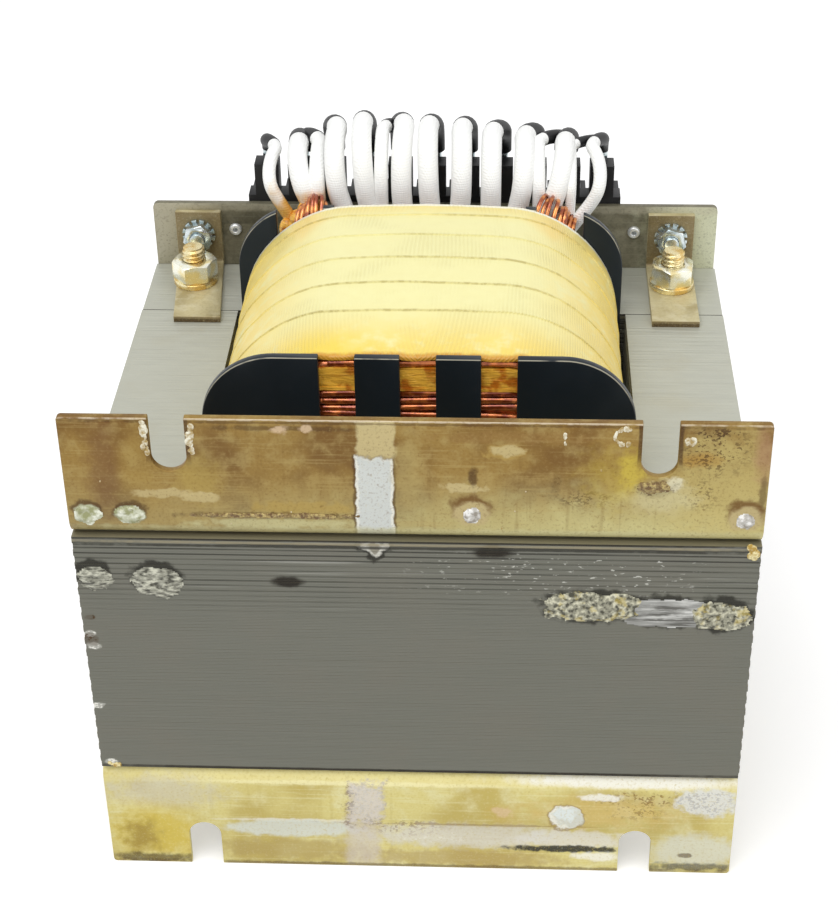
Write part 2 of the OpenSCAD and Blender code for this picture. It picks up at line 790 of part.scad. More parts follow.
// Points of lead i: out of the coil, up behind the flange, then over an arch to its terminal.
// Stations: 0 and 1 straight out, 1 to 4 the bend, 4 to 7 the rise, 7 to 19 the arch.
function lead_point(i, s) =
    let(foot = rear_slots[lead_slot[i - 1]] + lead_in_slot[i - 1],
        last = terminal_x(i), top = last + lead_lean[i - 1],
        bend = max(min(s - 1, 3), 0) * 30,
        rise = min(max(s - 4, 0), 3) / 3,
        turn = max(s - 7, 0) * 15,
        up = (rise * 3 + min(turn, 90) / 90 * 3) / 6,
        across = turn <= 90 ? foot + (top - foot) * ease(up) + lead_bow[i - 1] * sin(180 * up)
                            : top + (last - top) * ease((turn - 90) / 50))
    s == 0 ? [foot, wind_y1, exit_z]
    : s <= 4 ? [foot, rise_y - lead_bend_r * (1 - sin(bend)), exit_z + lead_bend_r * (1 - cos(bend))]
    : s <= 7 ? [across, rise_y, exit_z + lead_bend_r + rise * (end_z - exit_z - lead_bend_r)]
    : [across, arch_y - arch_half * cos(turn), end_z + lead_rise[i - 1] * sin(turn)];

function lead_points(i, s0, s1) = [for (s = [s0:s1]) lead_point(i, s)];
function lead_d(i) = i == 1 || i == lead_count ? thin_sleeve_d : sleeve_d;
function is_tail_lead(i) = len(search(i, tail_leads)) > 0;

// The station at which a lead's sleeving starts, and the one at which its boot does
function sleeve_start(i) = is_tail_lead(i) ? 7 : 0;
boot_start = 14;
last_station = 19;

function unit(v) = v / norm(v);
function tangent(p, k) =
    unit(p[min(k + 1, len(p) - 1)] - p[max(k - 1, 0)]);

// Ring k of a tube round the path p: the ends are square to the path's first and last direction
function tube_ring(p, k, d, sides, t0, t1) =
    let(t = k == 0 ? t0 : k == len(p) - 1 ? t1 : tangent(p, k),
        u = unit(cross([1, 0, 0], t)), v = cross(t, u))
    [for (a = [0:sides - 1]) p[k] + d / 2 * (cos(360 * a / sides) * u + sin(360 * a / sides) * v)];

// A solid tube of diameter d along the points p
module tube_along(p, d, sides, t0, t1) {
    n = len(p);
    points = [for (k = [0:n - 1]) each tube_ring(p, k, d, sides, t0, t1)];
    walls = [for (k = [0:n - 2], a = [0:sides - 1])
        let(b = (a + 1) % sides, q = k * sides, w = q + sides)
        each [[q + a, w + a, q + b], [q + b, w + a, w + b]]];
    caps = [[for (a = [0:sides - 1]) a], [for (a = [0:sides - 1]) (n - 1) * sides + sides - 1 - a]];
    polyhedron(points, concat(walls, caps), convexity = 6);
}

// The direction of lead i's path at station s
function lead_direction(i, s) =
    s == 0 ? [0, 1, 0]
    : s == last_station ? [0, 0, -1]
    : unit(lead_point(i, s + 1) - lead_point(i, s - 1));

module lead(i) {
    s0 = sleeve_start(i);
    color([0.90, 0.89, 0.85])
        tube_along(lead_points(i, s0, boot_start), lead_d(i), 8,
                   lead_direction(i, s0), lead_direction(i, boot_start));
}

module boot(i) {
    color([0.08, 0.08, 0.09])
        tube_along(lead_points(i, boot_start, last_station), lead_d(i) + boot_extra, 8,
                   lead_direction(i, boot_start), lead_direction(i, last_station));
}

// A ring lug: a barrel at the boot's end, a flat tongue and a ring under the screw
module lug(i) {
    ring_z = z_top + upper_screw_over;
    barrel_d = min(lug_barrel_d, lead_d(i));
    web_w = 0.6 * lug_barrel_d;
    web_end = 0.25 * lug_barrel_l;
    color([0.80, 0.78, 0.74])
    difference() {
        union() {
            translate([terminal_x(i), fall_y, end_z - lug_barrel_l])
                cylinder(h = lug_barrel_l, d = barrel_d);
            translate([terminal_x(i) - lug_tongue_w / 2, strap_y1, ring_z])
                cube([lug_tongue_w, lug_t, end_z - ring_z - web_end]);
            translate([terminal_x(i) - web_w / 2, strap_y1, end_z - 0.9 * lug_barrel_l])
                cube([web_w, fall_y - strap_y1, 0.9 * lug_barrel_l - web_end]);
            translate([terminal_x(i), strap_y1, ring_z])
                rotate([-90, 0, 0])
                    cylinder(h = lug_t, d = strap_w - 2 * lug_ring_gap);
        }
        translate([terminal_x(i), strap_y1 - 1, ring_z])
            rotate([-90, 0, 0])
                cylinder(h = lug_t + 2, d = terminal_screw_d + 2 * thread_gap);
    }
}

// Bare winding wire: three twisted strands from the coil to the mouth of lead i's sleeve
module copper_tails(i) {
    p = lead_points(i, 0, 7);
    lay = strand_d * 0.62;
    color([0.72, 0.38, 0.20])
    for (k = [0:2]) {
        strand = [for (s = [0:7])
            let(t = lead_direction(i, s), u = unit(cross([1, 0, 0], t)), v = cross(t, u),
                a = 120 * k + 22 * s)
            p[s] + lay * (cos(a) * u + sin(a) * v)];
        tube_along(strand, strand_d, 8, lead_direction(i, 0), lead_direction(i, 7));
    }
}

// The part's box is centred on Y
module placed() {
    translate([0, -depth / 2, 0])
        children();
}

placed() e_laminations();
placed() i_laminations();
placed() upper_bracket();
placed() lower_bracket();
placed() terminal_plate();
placed() plate_clip(-1, left_clip_lean);  // left_clip
placed() plate_clip(1, right_clip_lean);  // right_clip
placed() core_bolts();
placed() core_lock_washers();
placed() core_nuts();
placed() clip_screws();
placed() clip_star_washers();
placed() clip_nuts();
placed() coil_former();
placed() primary_winding();
placed() interwinding_wrap();
placed() margin_tape();
placed() secondary_winding();
placed() outer_tape();
placed() terminal_block();
placed() terminal_straps();
placed() terminal_screws();
placed() block_rivets();
placed() copper_tails(tail_leads[0]);  // left_tails
placed() copper_tails(tail_leads[1]);  // right_tails
for (i = [1:lead_count]) {
    placed() lead(i);
    placed() boot(i);
    placed() lug(i);
}
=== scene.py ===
"""Looks of a multi-tap transformer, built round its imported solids.

Sizes are millimetres and a finished mesh is scaled to metres. X runs along the core's width,
Y from the mounting face to the terminals and Z up the stack of laminations.
"""
import logging
import math
import random
from dataclasses import dataclass, field, replace
from enum import Enum
from typing import Any, Callable, Iterable, Mapping, Sequence, Union

import bmesh
import bpy
from mathutils import Euler, Matrix, Vector, noise


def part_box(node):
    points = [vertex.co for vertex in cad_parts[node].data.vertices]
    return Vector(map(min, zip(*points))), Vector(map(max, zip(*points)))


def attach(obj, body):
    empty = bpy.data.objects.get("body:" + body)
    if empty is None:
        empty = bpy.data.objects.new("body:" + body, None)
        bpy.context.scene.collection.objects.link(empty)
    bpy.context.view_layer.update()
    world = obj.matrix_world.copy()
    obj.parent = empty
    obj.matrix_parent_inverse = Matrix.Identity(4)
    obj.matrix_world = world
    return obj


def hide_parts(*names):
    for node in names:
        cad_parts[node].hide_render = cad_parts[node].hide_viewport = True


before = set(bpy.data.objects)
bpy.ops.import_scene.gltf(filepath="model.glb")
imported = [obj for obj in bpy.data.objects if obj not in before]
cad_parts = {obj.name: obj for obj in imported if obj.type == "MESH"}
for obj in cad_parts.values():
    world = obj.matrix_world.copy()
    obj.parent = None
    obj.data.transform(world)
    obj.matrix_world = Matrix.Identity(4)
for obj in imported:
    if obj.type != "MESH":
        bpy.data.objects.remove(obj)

LOG = logging.getLogger("transformer")
MM = 0.001
WELD = 0.003 * MM
SHARP = math.radians(30.0)
CREASE = math.radians(45.0)
Mesh = bpy.types.Mesh
Colour = tuple[float, float, float]
Number = Union[float, "Value"]
Bead = tuple[float, float, float]


class Slot(Enum):
    """The record's material slots."""

    CORE = "core_steel"
    BRACKET = "bracket_steel"
    PLATE = "plate_steel"
    CLIP = "clip_steel"
    YELLOW_ZINC = "yellow_zinc"
    BRIGHT_ZINC = "bright_zinc"
    RIVET = "rivet_metal"
    FORMER = "former_plastic"
    COPPER = "copper"
    FILM = "amber_film"
    TAPE = "glass_tape"
    BLOCK = "block_plastic"
    BRASS = "terminal_brass"
    SLEEVE = "sleeve_glass"
    BOOT = "boot_rubber"


def operator(kind: str, flipped: bool = False) -> Callable[["Value", Number], "Value"]:
    """Makes an operator of Value out of a Math node.

    Args:
        kind: the node's operation.
        flipped: whether the plain number comes first.

    Returns:
        The method.
    """
    def method(value: "Value", other: Number) -> "Value":
        """The result of the Math node."""
        terms = (other, value) if flipped else (value, other)
        return value.graph.math(kind, *terms)

    return method


class Value:
    """A node's output that takes part in Python arithmetic."""

    __add__ = __radd__ = operator("ADD")
    __sub__, __rsub__ = operator("SUBTRACT"), operator("SUBTRACT", True)
    __mul__ = __rmul__ = operator("MULTIPLY")
    __truediv__, __rtruediv__ = operator("DIVIDE"), operator("DIVIDE", True)
    __pow__, __rpow__ = operator("POWER"), operator("POWER", True)

    def __init__(self, graph: "Graph", socket: bpy.types.NodeSocket) -> None:
        """Wraps a socket of the graph that it belongs to."""
        self.graph = graph
        self.socket = socket

    def __abs__(self) -> "Value":
        """The size without its sign."""
        return self.graph.math("ABSOLUTE", self)


class Graph:
    """A node tree, with one way to add a node to it."""

    def __init__(self, tree: bpy.types.NodeTree) -> None:
        """Takes the tree to add to."""
        self.tree = tree

    def feed(self, socket: bpy.types.NodeSocket, value: Any) -> None:
        """Links a value to an input, or sets the input to a constant.

        Args:
            socket: the input.
            value: a Value, or what the input holds; a colour may be without its fourth number.
        """
        if isinstance(value, Value):
            self.tree.links.new(value.socket, socket)
        elif socket.type == "RGBA" and len(value) == 3:
            socket.default_value = (*value, 1.0)
        else:
            socket.default_value = value

    def node(self, kind: str, settings: Mapping[str, Any] | None = None,
             sockets: Mapping[Any, Any] | None = None, out: Any = 0) -> Value:
        """Adds a node.

        Args:
            kind: the node's type.
            settings: its attributes.
            sockets: its inputs by name or place, each a Value or a constant.
            out: the output wanted, by name or place.

        Returns:
            That output.
        """
        made = self.tree.nodes.new(kind)
        for key, value in (settings or {}).items():
            setattr(made, key, value)
        for key, value in (sockets or {}).items():
            self.feed(made.inputs[key], value)
        return Value(self, made.outputs[out])

    def math(self, operation: str, *terms: Number) -> Value:
        """The result of a Math node."""
        return self.node("ShaderNodeMath", {"operation": operation}, dict(enumerate(terms)))

    def vector(self, operation: str, *terms: Any) -> Value:
        """The result of a Vector Math node."""
        return self.node("ShaderNodeVectorMath", {"operation": operation}, dict(enumerate(terms)))

    def parts(self, vector: Value) -> tuple[Value, Value, Value]:
        """The three numbers of a vector."""
        made = self.node("ShaderNodeSeparateXYZ", sockets={0: vector}).socket.node
        return tuple(Value(self, socket) for socket in made.outputs)

    def joined(self, x: Number, y: Number, z: Number) -> Value:
        """The vector of three numbers."""
        return self.node("ShaderNodeCombineXYZ", sockets={0: x, 1: y, 2: z})

    def ramp(self, value: Value, start: float, stop: float) -> Value:
        """A smooth step from 0 at start to 1 at stop, which may lie either way."""
        return self.node("ShaderNodeMapRange", {"interpolation_type": "SMOOTHSTEP"},
                         {"Value": value, "From Min": start, "From Max": stop})

    def texture(self, place: Value, size: float, detail: float = 2.0,
                stretch: Sequence[float] = (1.0, 1.0, 1.0), shift: float = 0.0) -> Value:
        """Noise from 0 to 1.

        Args:
            place: the point in millimetres.
            size: how wide a blot is.
            detail: how many finer layers it has.
            stretch: factors on the point; a small one draws the blots out.
            shift: moves the point, so that two noises differ.

        Returns:
            The noise's level.
        """
        point = self.vector("MULTIPLY_ADD", place, tuple(stretch), (shift, shift, shift))
        return self.node("ShaderNodeTexNoise",
                         sockets={"Vector": point, "Scale": 1.0 / size, "Detail": detail})


class Skin(Graph):
    """A material's tree, with the surface's own place in millimetres."""

    def __init__(self, name: str) -> None:
        """Makes an empty material.

        Args:
            name: its name.
        """
        self.material = bpy.data.materials.new(name)
        self.material.use_nodes = True
        super().__init__(self.material.node_tree)
        self.tree.nodes.clear()
        place = self.node("ShaderNodeTexCoord", out="Object")
        self.place = self.vector("MULTIPLY", place, (1 / MM, 1 / MM, 1 / MM))
        self.x, self.y, self.z = self.parts(self.place)
        _, facing_y, facing_z = self.parts(self.node("ShaderNodeTexCoord", out="Normal"))
        self.front = self.ramp(facing_y, -0.3, -0.7)
        self.upward = self.ramp(abs(facing_z), 0.5, 0.8)
        self.rising = self.ramp(facing_z, 0.1, 0.35)
        self.tilt = abs(facing_y)

    def noise(self, size: float, detail: float = 2.0, stretch: Sequence[float] = (1.0, 1.0, 1.0),
              shift: float = 0.0) -> Value:
        """Noise at the surface's own place; see texture."""
        return self.texture(self.place, size, detail, stretch, shift)

    def mix(self, share: Number, first: Any, second: Any) -> Value:
        """A colour between two."""
        return self.node("ShaderNodeMix", {"data_type": "RGBA"}, {0: share, 6: first, 7: second}, 2)

    def bands(self, value: Value, pitch: float, clear: float) -> Value:
        """Lines at each multiple of a pitch, which leave a share of it clear: 1 on one, 0 between two."""
        return self.ramp(abs(self.math("FRACT", value / pitch) - 0.5), 0.5 * clear, 0.5)

    def finish(self, colour: Any, rough: Number, metal: Number = 0.0, height: Value | None = None,
               coat: Number = 0.0, gloss: float = 0.5) -> None:
        """Ends the material in one Principled shader.

        Args:
            colour: its base colour.
            rough: its roughness.
            metal: how metallic it is.
            height: a relief in millimetres.
            coat: the weight of a clear coat.
            gloss: how strongly what isn't metal reflects.
        """
        sockets = {"Base Color": colour, "Roughness": rough, "Metallic": metal, "Coat Weight": coat,
                   "Coat Roughness": 0.12, "Specular IOR Level": gloss}
        if height is not None:
            sockets["Normal"] = self.node("ShaderNodeBump", sockets={"Distance": MM, "Height": height})
        self.output(self.node("ShaderNodeBsdfPrincipled", sockets=sockets))

    def output(self, shader: Value) -> None:
        """Links a shader to the material's output."""
        self.feed(self.tree.nodes.new("ShaderNodeOutputMaterial").inputs["Surface"], shader)


@dataclass(frozen=True)
class Finish:
    """A finish that any piece can wear."""

    name: str

    def material(self) -> bpy.types.Material:
        """Finds the finish's material, or makes it when it is first asked for.

        Returns:
            The material.
        """
        made = bpy.data.materials.get(self.name + "_finish")
        if made is None:
            skin = Skin(self.name + "_finish")
            self.paint(skin)
            made = skin.material
        return made

    def paint(self, skin: Skin) -> None:
        """Adds the finish's nodes.

        Args:
            skin: the material to paint.
        """
        raise NotImplementedError


@dataclass(frozen=True)
class Mark:
    """A stain, bare place, painted shade or painted highlight on a face that looks along -Y.

    Attributes:
        x: its middle.
        z: its middle.
        wide: half its width.
        high: half its height.
        colour: its colour.
        share: how much it covers what is under it.
        soft: how wide its edge is, as a share of its size.
        ragged: how far its edge wanders.
        boxed: whether it is a rectangle and not an oval.
        grain: how much of it is broken up into specks.
        taper: how much wider it is at its top than in its middle.
    """

    x: float
    z: float
    wide: float
    high: float
    colour: Colour
    share: float = 0.9
    soft: float = 0.25
    ragged: float = 1.0
    boxed: bool = False
    grain: float = 0.0
    taper: float = 0.0

    def mask(self, skin: Skin, wander: Value, specks: Value) -> Value:
        """How much of the mark shows.

        Args:
            skin: the material that it is on.
            wander: a noise that moves its edge.
            specks: a noise that breaks it up.

        Returns:
            A share from 0 to 1.
        """
        across, up = abs(skin.x - self.x) / self.wide, abs(skin.z - self.z) / self.high
        if self.taper:
            across = across / ((skin.z - self.z) * (self.taper / self.high) + 1.0)
        far = skin.math("MAXIMUM", across, up) if self.boxed else (across * across + up * up) ** 0.5
        shown = skin.ramp(far + (wander - 0.5) * (1.6 * self.ragged), 1.0 + self.soft, 1.0 - self.soft)
        if self.grain:
            shown = shown * (skin.ramp(specks, 0.515, 0.565) * self.grain + (1.0 - self.grain))
        return shown * skin.front * self.share

    def over(self, level: float) -> "Mark":
        """The same mark with its height counted from a level."""
        return replace(self, z=level + self.z)


@dataclass(frozen=True)
class MarkedFinish(Finish):
    """A finish on which things have happened, and on which shade and highlights may be painted.

    Attributes:
        marks: what has happened to its front, with painted shade and painted highlights among them, the first
            lowest.
    """

    marks: tuple[Mark, ...] = ()

    def marked(self, skin: Skin, colour: Value) -> Value:
        """Lays the marks over a colour.

        Args:
            skin: the material.
            colour: what lies under them.

        Returns:
            The colour with the marks.
        """
        wander = skin.noise(2.4, 4.0, shift=22.0)
        specks = skin.noise(0.55, 2.0, (0.8, 1.0, 1.0), 57.0) * 0.6 + skin.noise(2.4, 3.0, shift=44.0) * 0.4
        for mark in self.marks:
            colour = skin.mix(mark.mask(skin, wander, specks), colour, mark.colour)
        return colour


@dataclass(frozen=True)
class LaminationSteel(MarkedFinish):
    """Bare sheet edges, dark and lined, with satin faces on top.

    Attributes:
        top: the height of the upper face.
        front: where the front lies.
        pitch: the thickness of a packet.
        sheet: the colours of the sheets' edges, from dark to light.
        cloudy: their colour in clouds.
        streak: their colour in pale streaks.
        gap: the colour between two packets.
        scratch: the colour of the scratches, which lie near the top.
        speck: the colour of the specks.
        satin: the colours of the upper face, from dark to light.
        stain: its colour where it is stained.
        rim: its colour along the front.
    """

    top: float = 0.0
    front: float = 0.0
    pitch: float = 2.0
    sheet: tuple[Colour, Colour] = ((0.172, 0.173, 0.143), (0.186, 0.187, 0.156))
    cloudy: Colour = (0.19, 0.182, 0.149)
    streak: Colour = (0.36, 0.36, 0.32)
    gap: Colour = (0.026, 0.024, 0.02)
    scratch: Colour = (0.62, 0.62, 0.56)
    speck: Colour = (0.4, 0.4, 0.36)
    satin: tuple[Colour, Colour] = ((0.455, 0.462, 0.4), (0.53, 0.537, 0.462))
    stain: Colour = (0.44, 0.41, 0.3)
    rim: Colour = (0.19, 0.165, 0.09)

    def paint(self, skin: Skin) -> None:
        """Adds the finish's nodes.

        Args:
            skin: the material to paint.
        """
        deep = self.top - skin.z
        sheets = skin.noise(0.45, 2.0, (0.012, 0.012, 1.0))
        streaks = skin.noise(1.6, 3.0, (0.03, 1.0, 1.0), 8.0)
        cloud = skin.noise(16.0, 3.0, shift=40.0)
        grain = skin.noise(0.5, 3.0)
        fade = skin.ramp(deep + (cloud - 0.5) * 14.0, 27.0, 4.0)
        broken = skin.ramp(skin.noise(2.0, 2.0, (0.04, 1.0, 1.0), 71.0), 0.34, 0.56)
        joints = skin.bands(deep + (streaks - 0.5) * 0.5, self.pitch * 0.8, 0.54)
        joints = joints * fade * (broken * 0.65 + 0.35)
        edge = skin.mix(skin.ramp(sheets, 0.25, 0.75), *self.sheet)
        edge = skin.mix(skin.ramp(cloud, 0.4, 0.7) * 0.5, edge, self.cloudy)
        edge = skin.mix(skin.ramp(streaks, 0.6, 0.78) * fade * 0.75, edge, self.streak)
        edge = skin.mix(joints * 0.9, edge, self.gap)
        dashes = skin.ramp(skin.noise(0.75, 4.0, (0.45, 1.0, 1.0), 61.0), 0.63, 0.7)
        zone = skin.ramp(skin.x, -12.0, 24.0) * skin.ramp(skin.x, 76.0, 56.0)
        zone = zone * skin.ramp(deep, 2.0, 5.0) * skin.ramp(deep, 17.0, 11.0)
        edge = skin.mix(dashes * zone * 0.85, edge, self.scratch)
        edge = skin.mix(skin.ramp(grain, 0.7, 0.8) * 0.3, edge, self.speck)
        edge = self.marked(skin, edge)
        rolled = skin.noise(2.6, 3.0, (0.3, 1.0, 1.0), 5.0)
        face = skin.mix(rolled, *self.satin)
        face = skin.mix(skin.ramp(cloud, 0.52, 0.75) * 0.3, face, self.stain)
        face = skin.mix(skin.ramp(skin.y, self.front + 3.6, self.front + 2.4) * 0.85, face, self.rim)
        skin.finish(skin.mix(skin.upward, edge, face), 0.52 - 0.14 * skin.upward + 0.12 * grain, 0.25,
                    sheets * 0.04 + grain * 0.02 - joints * 0.12, gloss=0.25)


@dataclass(frozen=True)
class VarnishedSteel(MarkedFinish):
    """Plated steel under a brushed coat of amber varnish.

    Attributes:
        dark: its colour where the varnish lies thick.
        middle: its common colour.
        light: its colour where the varnish is thin.
        low: its colour towards its foot.
        fall: the heights between which it turns to that.
        lean: the share of that which comes only towards +X.
        blot: how wide the blots are.
        metal: how metallic it is.
    """

    dark: Colour = (0.2, 0.1, 0.03)
    middle: Colour = (0.4, 0.3, 0.1)
    light: Colour = (0.5, 0.4, 0.2)
    low: Colour = (0.5, 0.46, 0.24)
    fall: tuple[float, float] = (-90.0, -99.0)
    lean: float = 0.0
    blot: float = 17.0
    metal: float = 0.25

    def paint(self, skin: Skin) -> None:
        """Adds the finish's nodes.

        Args:
            skin: the material to paint.
        """
        blots = skin.noise(self.blot, 2.0, shift=13.0)
        cloud = skin.noise(self.blot * 0.3, 5.0, shift=31.0)
        fine = skin.noise(0.9, 3.0, shift=3.0)
        runs = skin.noise(1.5, 2.0, (1.0, 1.0, 0.07), 7.0)
        brush = skin.noise(0.6, 2.0, (0.04, 1.0, 1.0), 3.0)
        grit = skin.noise(0.7, 6.0, shift=19.0)
        colour = skin.mix(skin.ramp(blots, 0.36, 0.58), self.dark, self.middle)
        colour = skin.mix(skin.ramp(cloud, 0.46, 0.7) * 0.5, colour, self.light)
        reach = skin.ramp(skin.z + (cloud - 0.5) * 18.0, *self.fall)
        side = skin.ramp(skin.x, -70.0, 70.0) * self.lean + (1.0 - self.lean)
        colour = skin.mix(reach * side, colour, self.low)
        colour = skin.mix(skin.ramp(runs, 0.56, 0.74) * 0.25, colour, self.dark)
        colour = skin.mix(skin.ramp(brush, 0.54, 0.72) * 0.35, colour, self.light)
        colour = self.marked(skin, colour)
        colour = skin.mix(skin.ramp(grit, 0.5, 0.7) * 0.3, colour, self.dark)
        colour = skin.mix(skin.ramp(grit, 0.48, 0.3) * 0.18, colour, self.light)
        colour = skin.mix(skin.ramp(fine, 0.64, 0.74) * 0.4, colour, self.dark)
        relief = cloud * 0.16 + runs * 0.06 + brush * 0.04 + grit * 0.06
        skin.finish(colour, 0.4 + 0.2 * cloud, self.metal, relief, gloss=0.3)


@dataclass(frozen=True)
class Plating(Finish):
    """Zinc or tin plate, with a chromate tint that varies.

    Attributes:
        base: its common colour.
        tint: its colour where the chromate is strong.
        rough: its roughness.
        metal: how metallic it is.
    """

    base: Colour
    tint: Colour
    rough: float = 0.3
    metal: float = 0.85

    def paint(self, skin: Skin) -> None:
        """Adds the finish's nodes.

        Args:
            skin: the material to paint.
        """
        cloud = skin.noise(3.4, 3.0)
        fine = skin.noise(0.35, 2.0, shift=4.0)
        skin.finish(skin.mix(skin.ramp(cloud, 0.4, 0.62), self.base, self.tint),
                    self.rough + 0.2 * (fine - 0.5), self.metal, cloud * 0.05 + fine * 0.02)


BRIGHT_ZINC = Plating("bright_zinc", (0.66, 0.72, 0.73), (0.44, 0.52, 0.54), 0.24)


@dataclass(frozen=True)
class Moulding(Finish):
    """A dark plastic or rubber with a fine grain, a little dust and a highlight that can be painted on its
    upper edges.

    Attributes:
        base: its colour.
        rough: its roughness.
        dust: how much dust lies on it.
        rim_highlight: how strongly a highlight is painted on its upper edges.
    """

    base: Colour
    rough: float = 0.42
    dust: float = 0.15
    rim_highlight: float = 0.0

    def paint(self, skin: Skin) -> None:
        """Adds the finish's nodes.

        Args:
            skin: the material to paint.
        """
        cloud = skin.noise(7.0, 3.0)
        fine = skin.noise(0.3, 2.0, shift=2.0)
        dusty = skin.ramp(cloud, 0.5, 0.75) * self.dust + skin.ramp(fine, 0.7, 0.85) * self.dust
        colour = skin.mix(dusty, self.base, (0.06, 0.065, 0.072))
        # painted highlight on the bevels of the upper edges
        rim = skin.ramp(skin.tilt, 0.35, 0.6) * skin.ramp(skin.tilt, 0.97, 0.85) * skin.rising
        colour = skin.mix(rim * skin.ramp(cloud, 0.3, 0.5) * self.rim_highlight, colour, (0.62, 0.58, 0.44))
        skin.finish(colour, self.rough + 0.15 * cloud, 0.0, cloud * 0.06 + fine * 0.012, gloss=0.3)


@dataclass(frozen=True)
class Enamel(Finish):
    """Enamelled copper wire, soaked in varnish.

    Attributes:
        dark: its colour where it is soaked.
        light: its colour where it is clean.
    """

    dark: Colour = (0.22, 0.03, 0.006)
    light: Colour = (0.62, 0.17, 0.035)

    def paint(self, skin: Skin) -> None:
        """Adds the finish's nodes.

        Args:
            skin: the material to paint.
        """
        cloud = skin.noise(2.6, 3.0)
        colour = skin.mix(skin.ramp(cloud, 0.38, 0.64), self.dark, self.light)
        skin.finish(colour, 0.22, 0.6, cloud * 0.08, 0.7)


@dataclass(frozen=True)
class Film(Finish):
    """Amber film in many turns, whose edges make fine lines."""

    def paint(self, skin: Skin) -> None:
        """Adds the finish's nodes.

        Args:
            skin: the material to paint.
        """
        cloud = skin.noise(3.2, 3.0)
        lines = skin.noise(0.4, 2.0, (0.1, 0.1, 1.0))
        colour = skin.mix(skin.ramp(cloud, 0.34, 0.55), (0.62, 0.18, 0.012), (1.0, 0.55, 0.065))
        colour = skin.mix(skin.ramp(lines, 0.55, 0.72) * 0.5, colour, (0.42, 0.12, 0.005))
        skin.finish(colour, 0.25, 0.0, lines * 0.3 + cloud * 0.6, 0.2)


@dataclass(frozen=True)
class WovenTape(Finish):
    """Glass tape soaked in varnish, wound edge over edge.

    Attributes:
        middle_z: the height of the coil's middle.
        front: the coil's front end.
        length: from its front end to its back end.
        first: from its front end to the first seam.
        pitch: the distance between two seams.
        cloth: the colours of the cloth, from dark to light.
        soaked: its colour towards the ends and sides.
        pooled: its colour in the pool of varnish at the front.
        fold_shade: the shading painted on the folds where the leads pull at it.
        hem: the colour of the highlight painted along its back edge.
        rim: the colour of its front edge.
        rib: the colour between two ribs of the weave.
        seam: the colour of a seam, partly the tape's own darker lapped edge and partly painted shade under
            the step.
        ribs: the distance between two ribs, and between two picks of the weave.
    """

    middle_z: float
    front: float
    length: float
    first: float
    pitch: float
    cloth: tuple[Colour, Colour] = ((0.86, 0.8, 0.37), (0.9, 0.86, 0.44))
    soaked: Colour = (0.91, 0.69, 0.15)
    pooled: Colour = (0.88, 0.66, 0.07)
    fold_shade: Colour = (0.88, 0.58, 0.12)
    hem: Colour = (0.97, 0.96, 0.82)
    rim: Colour = (0.62, 0.27, 0.012)
    rib: Colour = (0.6, 0.5, 0.16)
    seam: Colour = (0.42, 0.34, 0.11)
    ribs: tuple[float, float] = (1.05, 0.8)

    def paint(self, skin: Skin) -> None:
        """Adds the finish's nodes.

        Args:
            skin: the material to paint.
        """
        along = abs(skin.x) - abs(skin.z - self.middle_z)
        deep = skin.y - self.front
        cloud = skin.noise(17.0, 3.0)
        fine = skin.noise(3.0, 3.0, shift=6.0)
        ribs = skin.math("SINE", along * (math.tau / self.ribs[0]))
        picks = skin.math("SINE", deep * (math.tau / self.ribs[1]) + skin.math("SIGN", ribs) * 1.6)
        shown = skin.ramp(cloud + skin.ramp(deep, 24.0, 2.0) * 0.12, 0.44, 0.64)
        colour = skin.mix(fine, *self.cloth)
        edge = skin.math("MAXIMUM", skin.ramp(deep, 22.0, 0.0), skin.ramp(abs(skin.x), 22.0, 52.0))
        edge = skin.math("MAXIMUM", edge, skin.ramp(deep, self.length - 12.0, self.length) * 0.6)
        colour = skin.mix(edge * skin.ramp(fine + cloud, 0.56, 1.02), colour, self.soaked)
        aside = skin.x + 22.0
        pool = skin.ramp((aside * aside + deep * deep * 1.5) ** 0.5, 17.0, 3.0)
        colour = skin.mix(pool * 0.7, colour, self.pooled)
        # painted shading of the folds that the leads pull up near the back shoulders
        pull = abs(abs(skin.x) - 33.0) + abs(self.length - 7.0 - deep) * 0.8 + (cloud - 0.5) * 8.0
        colour = skin.mix(skin.ramp(pull, 10.0, 2.0) * 0.5, colour, self.fold_shade)
        # painted highlight along the back edge
        back = skin.ramp(deep + (fine - 0.5) * 0.8, self.length - 2.0, self.length - 1.2)
        colour = skin.mix(back * 0.85, colour, self.hem)
        rim = skin.ramp(deep + (fine - 0.5) * 2.0, 1.8, 0.3)
        colour = skin.mix(rim * 0.9, colour, self.rim)
        colour = skin.mix(skin.ramp(ribs, 0.1, 1.0) * shown * 0.2, colour, self.rib)
        # seam lines: partly the tape's own darker lapped edge and partly painted shade under each turn's step
        dashes = skin.ramp(skin.noise(1.5, 2.0, (1.0, 0.2, 1.0), 3.0), 0.4, 0.6)
        strong = skin.ramp(skin.noise(9.0, 1.0, (0.25, 1.0, 0.25), 14.0), 0.38, 0.62)
        lapped = deep - self.first + (fine - 0.5) * 0.5
        seam = skin.bands(lapped, self.pitch, 0.9) * skin.ramp(lapped, -3.0, -2.0) * (dashes * 0.4 + 0.4)
        colour = skin.mix(seam * (strong * 0.6 + 0.25), colour, self.seam)
        weave = (ribs * 0.035 + picks * 0.018) * (shown + 0.15)
        skin.finish(colour, 0.36 + 0.2 * fine, 0.0, weave + cloud * 0.25 + fine * 0.1, 0.15)


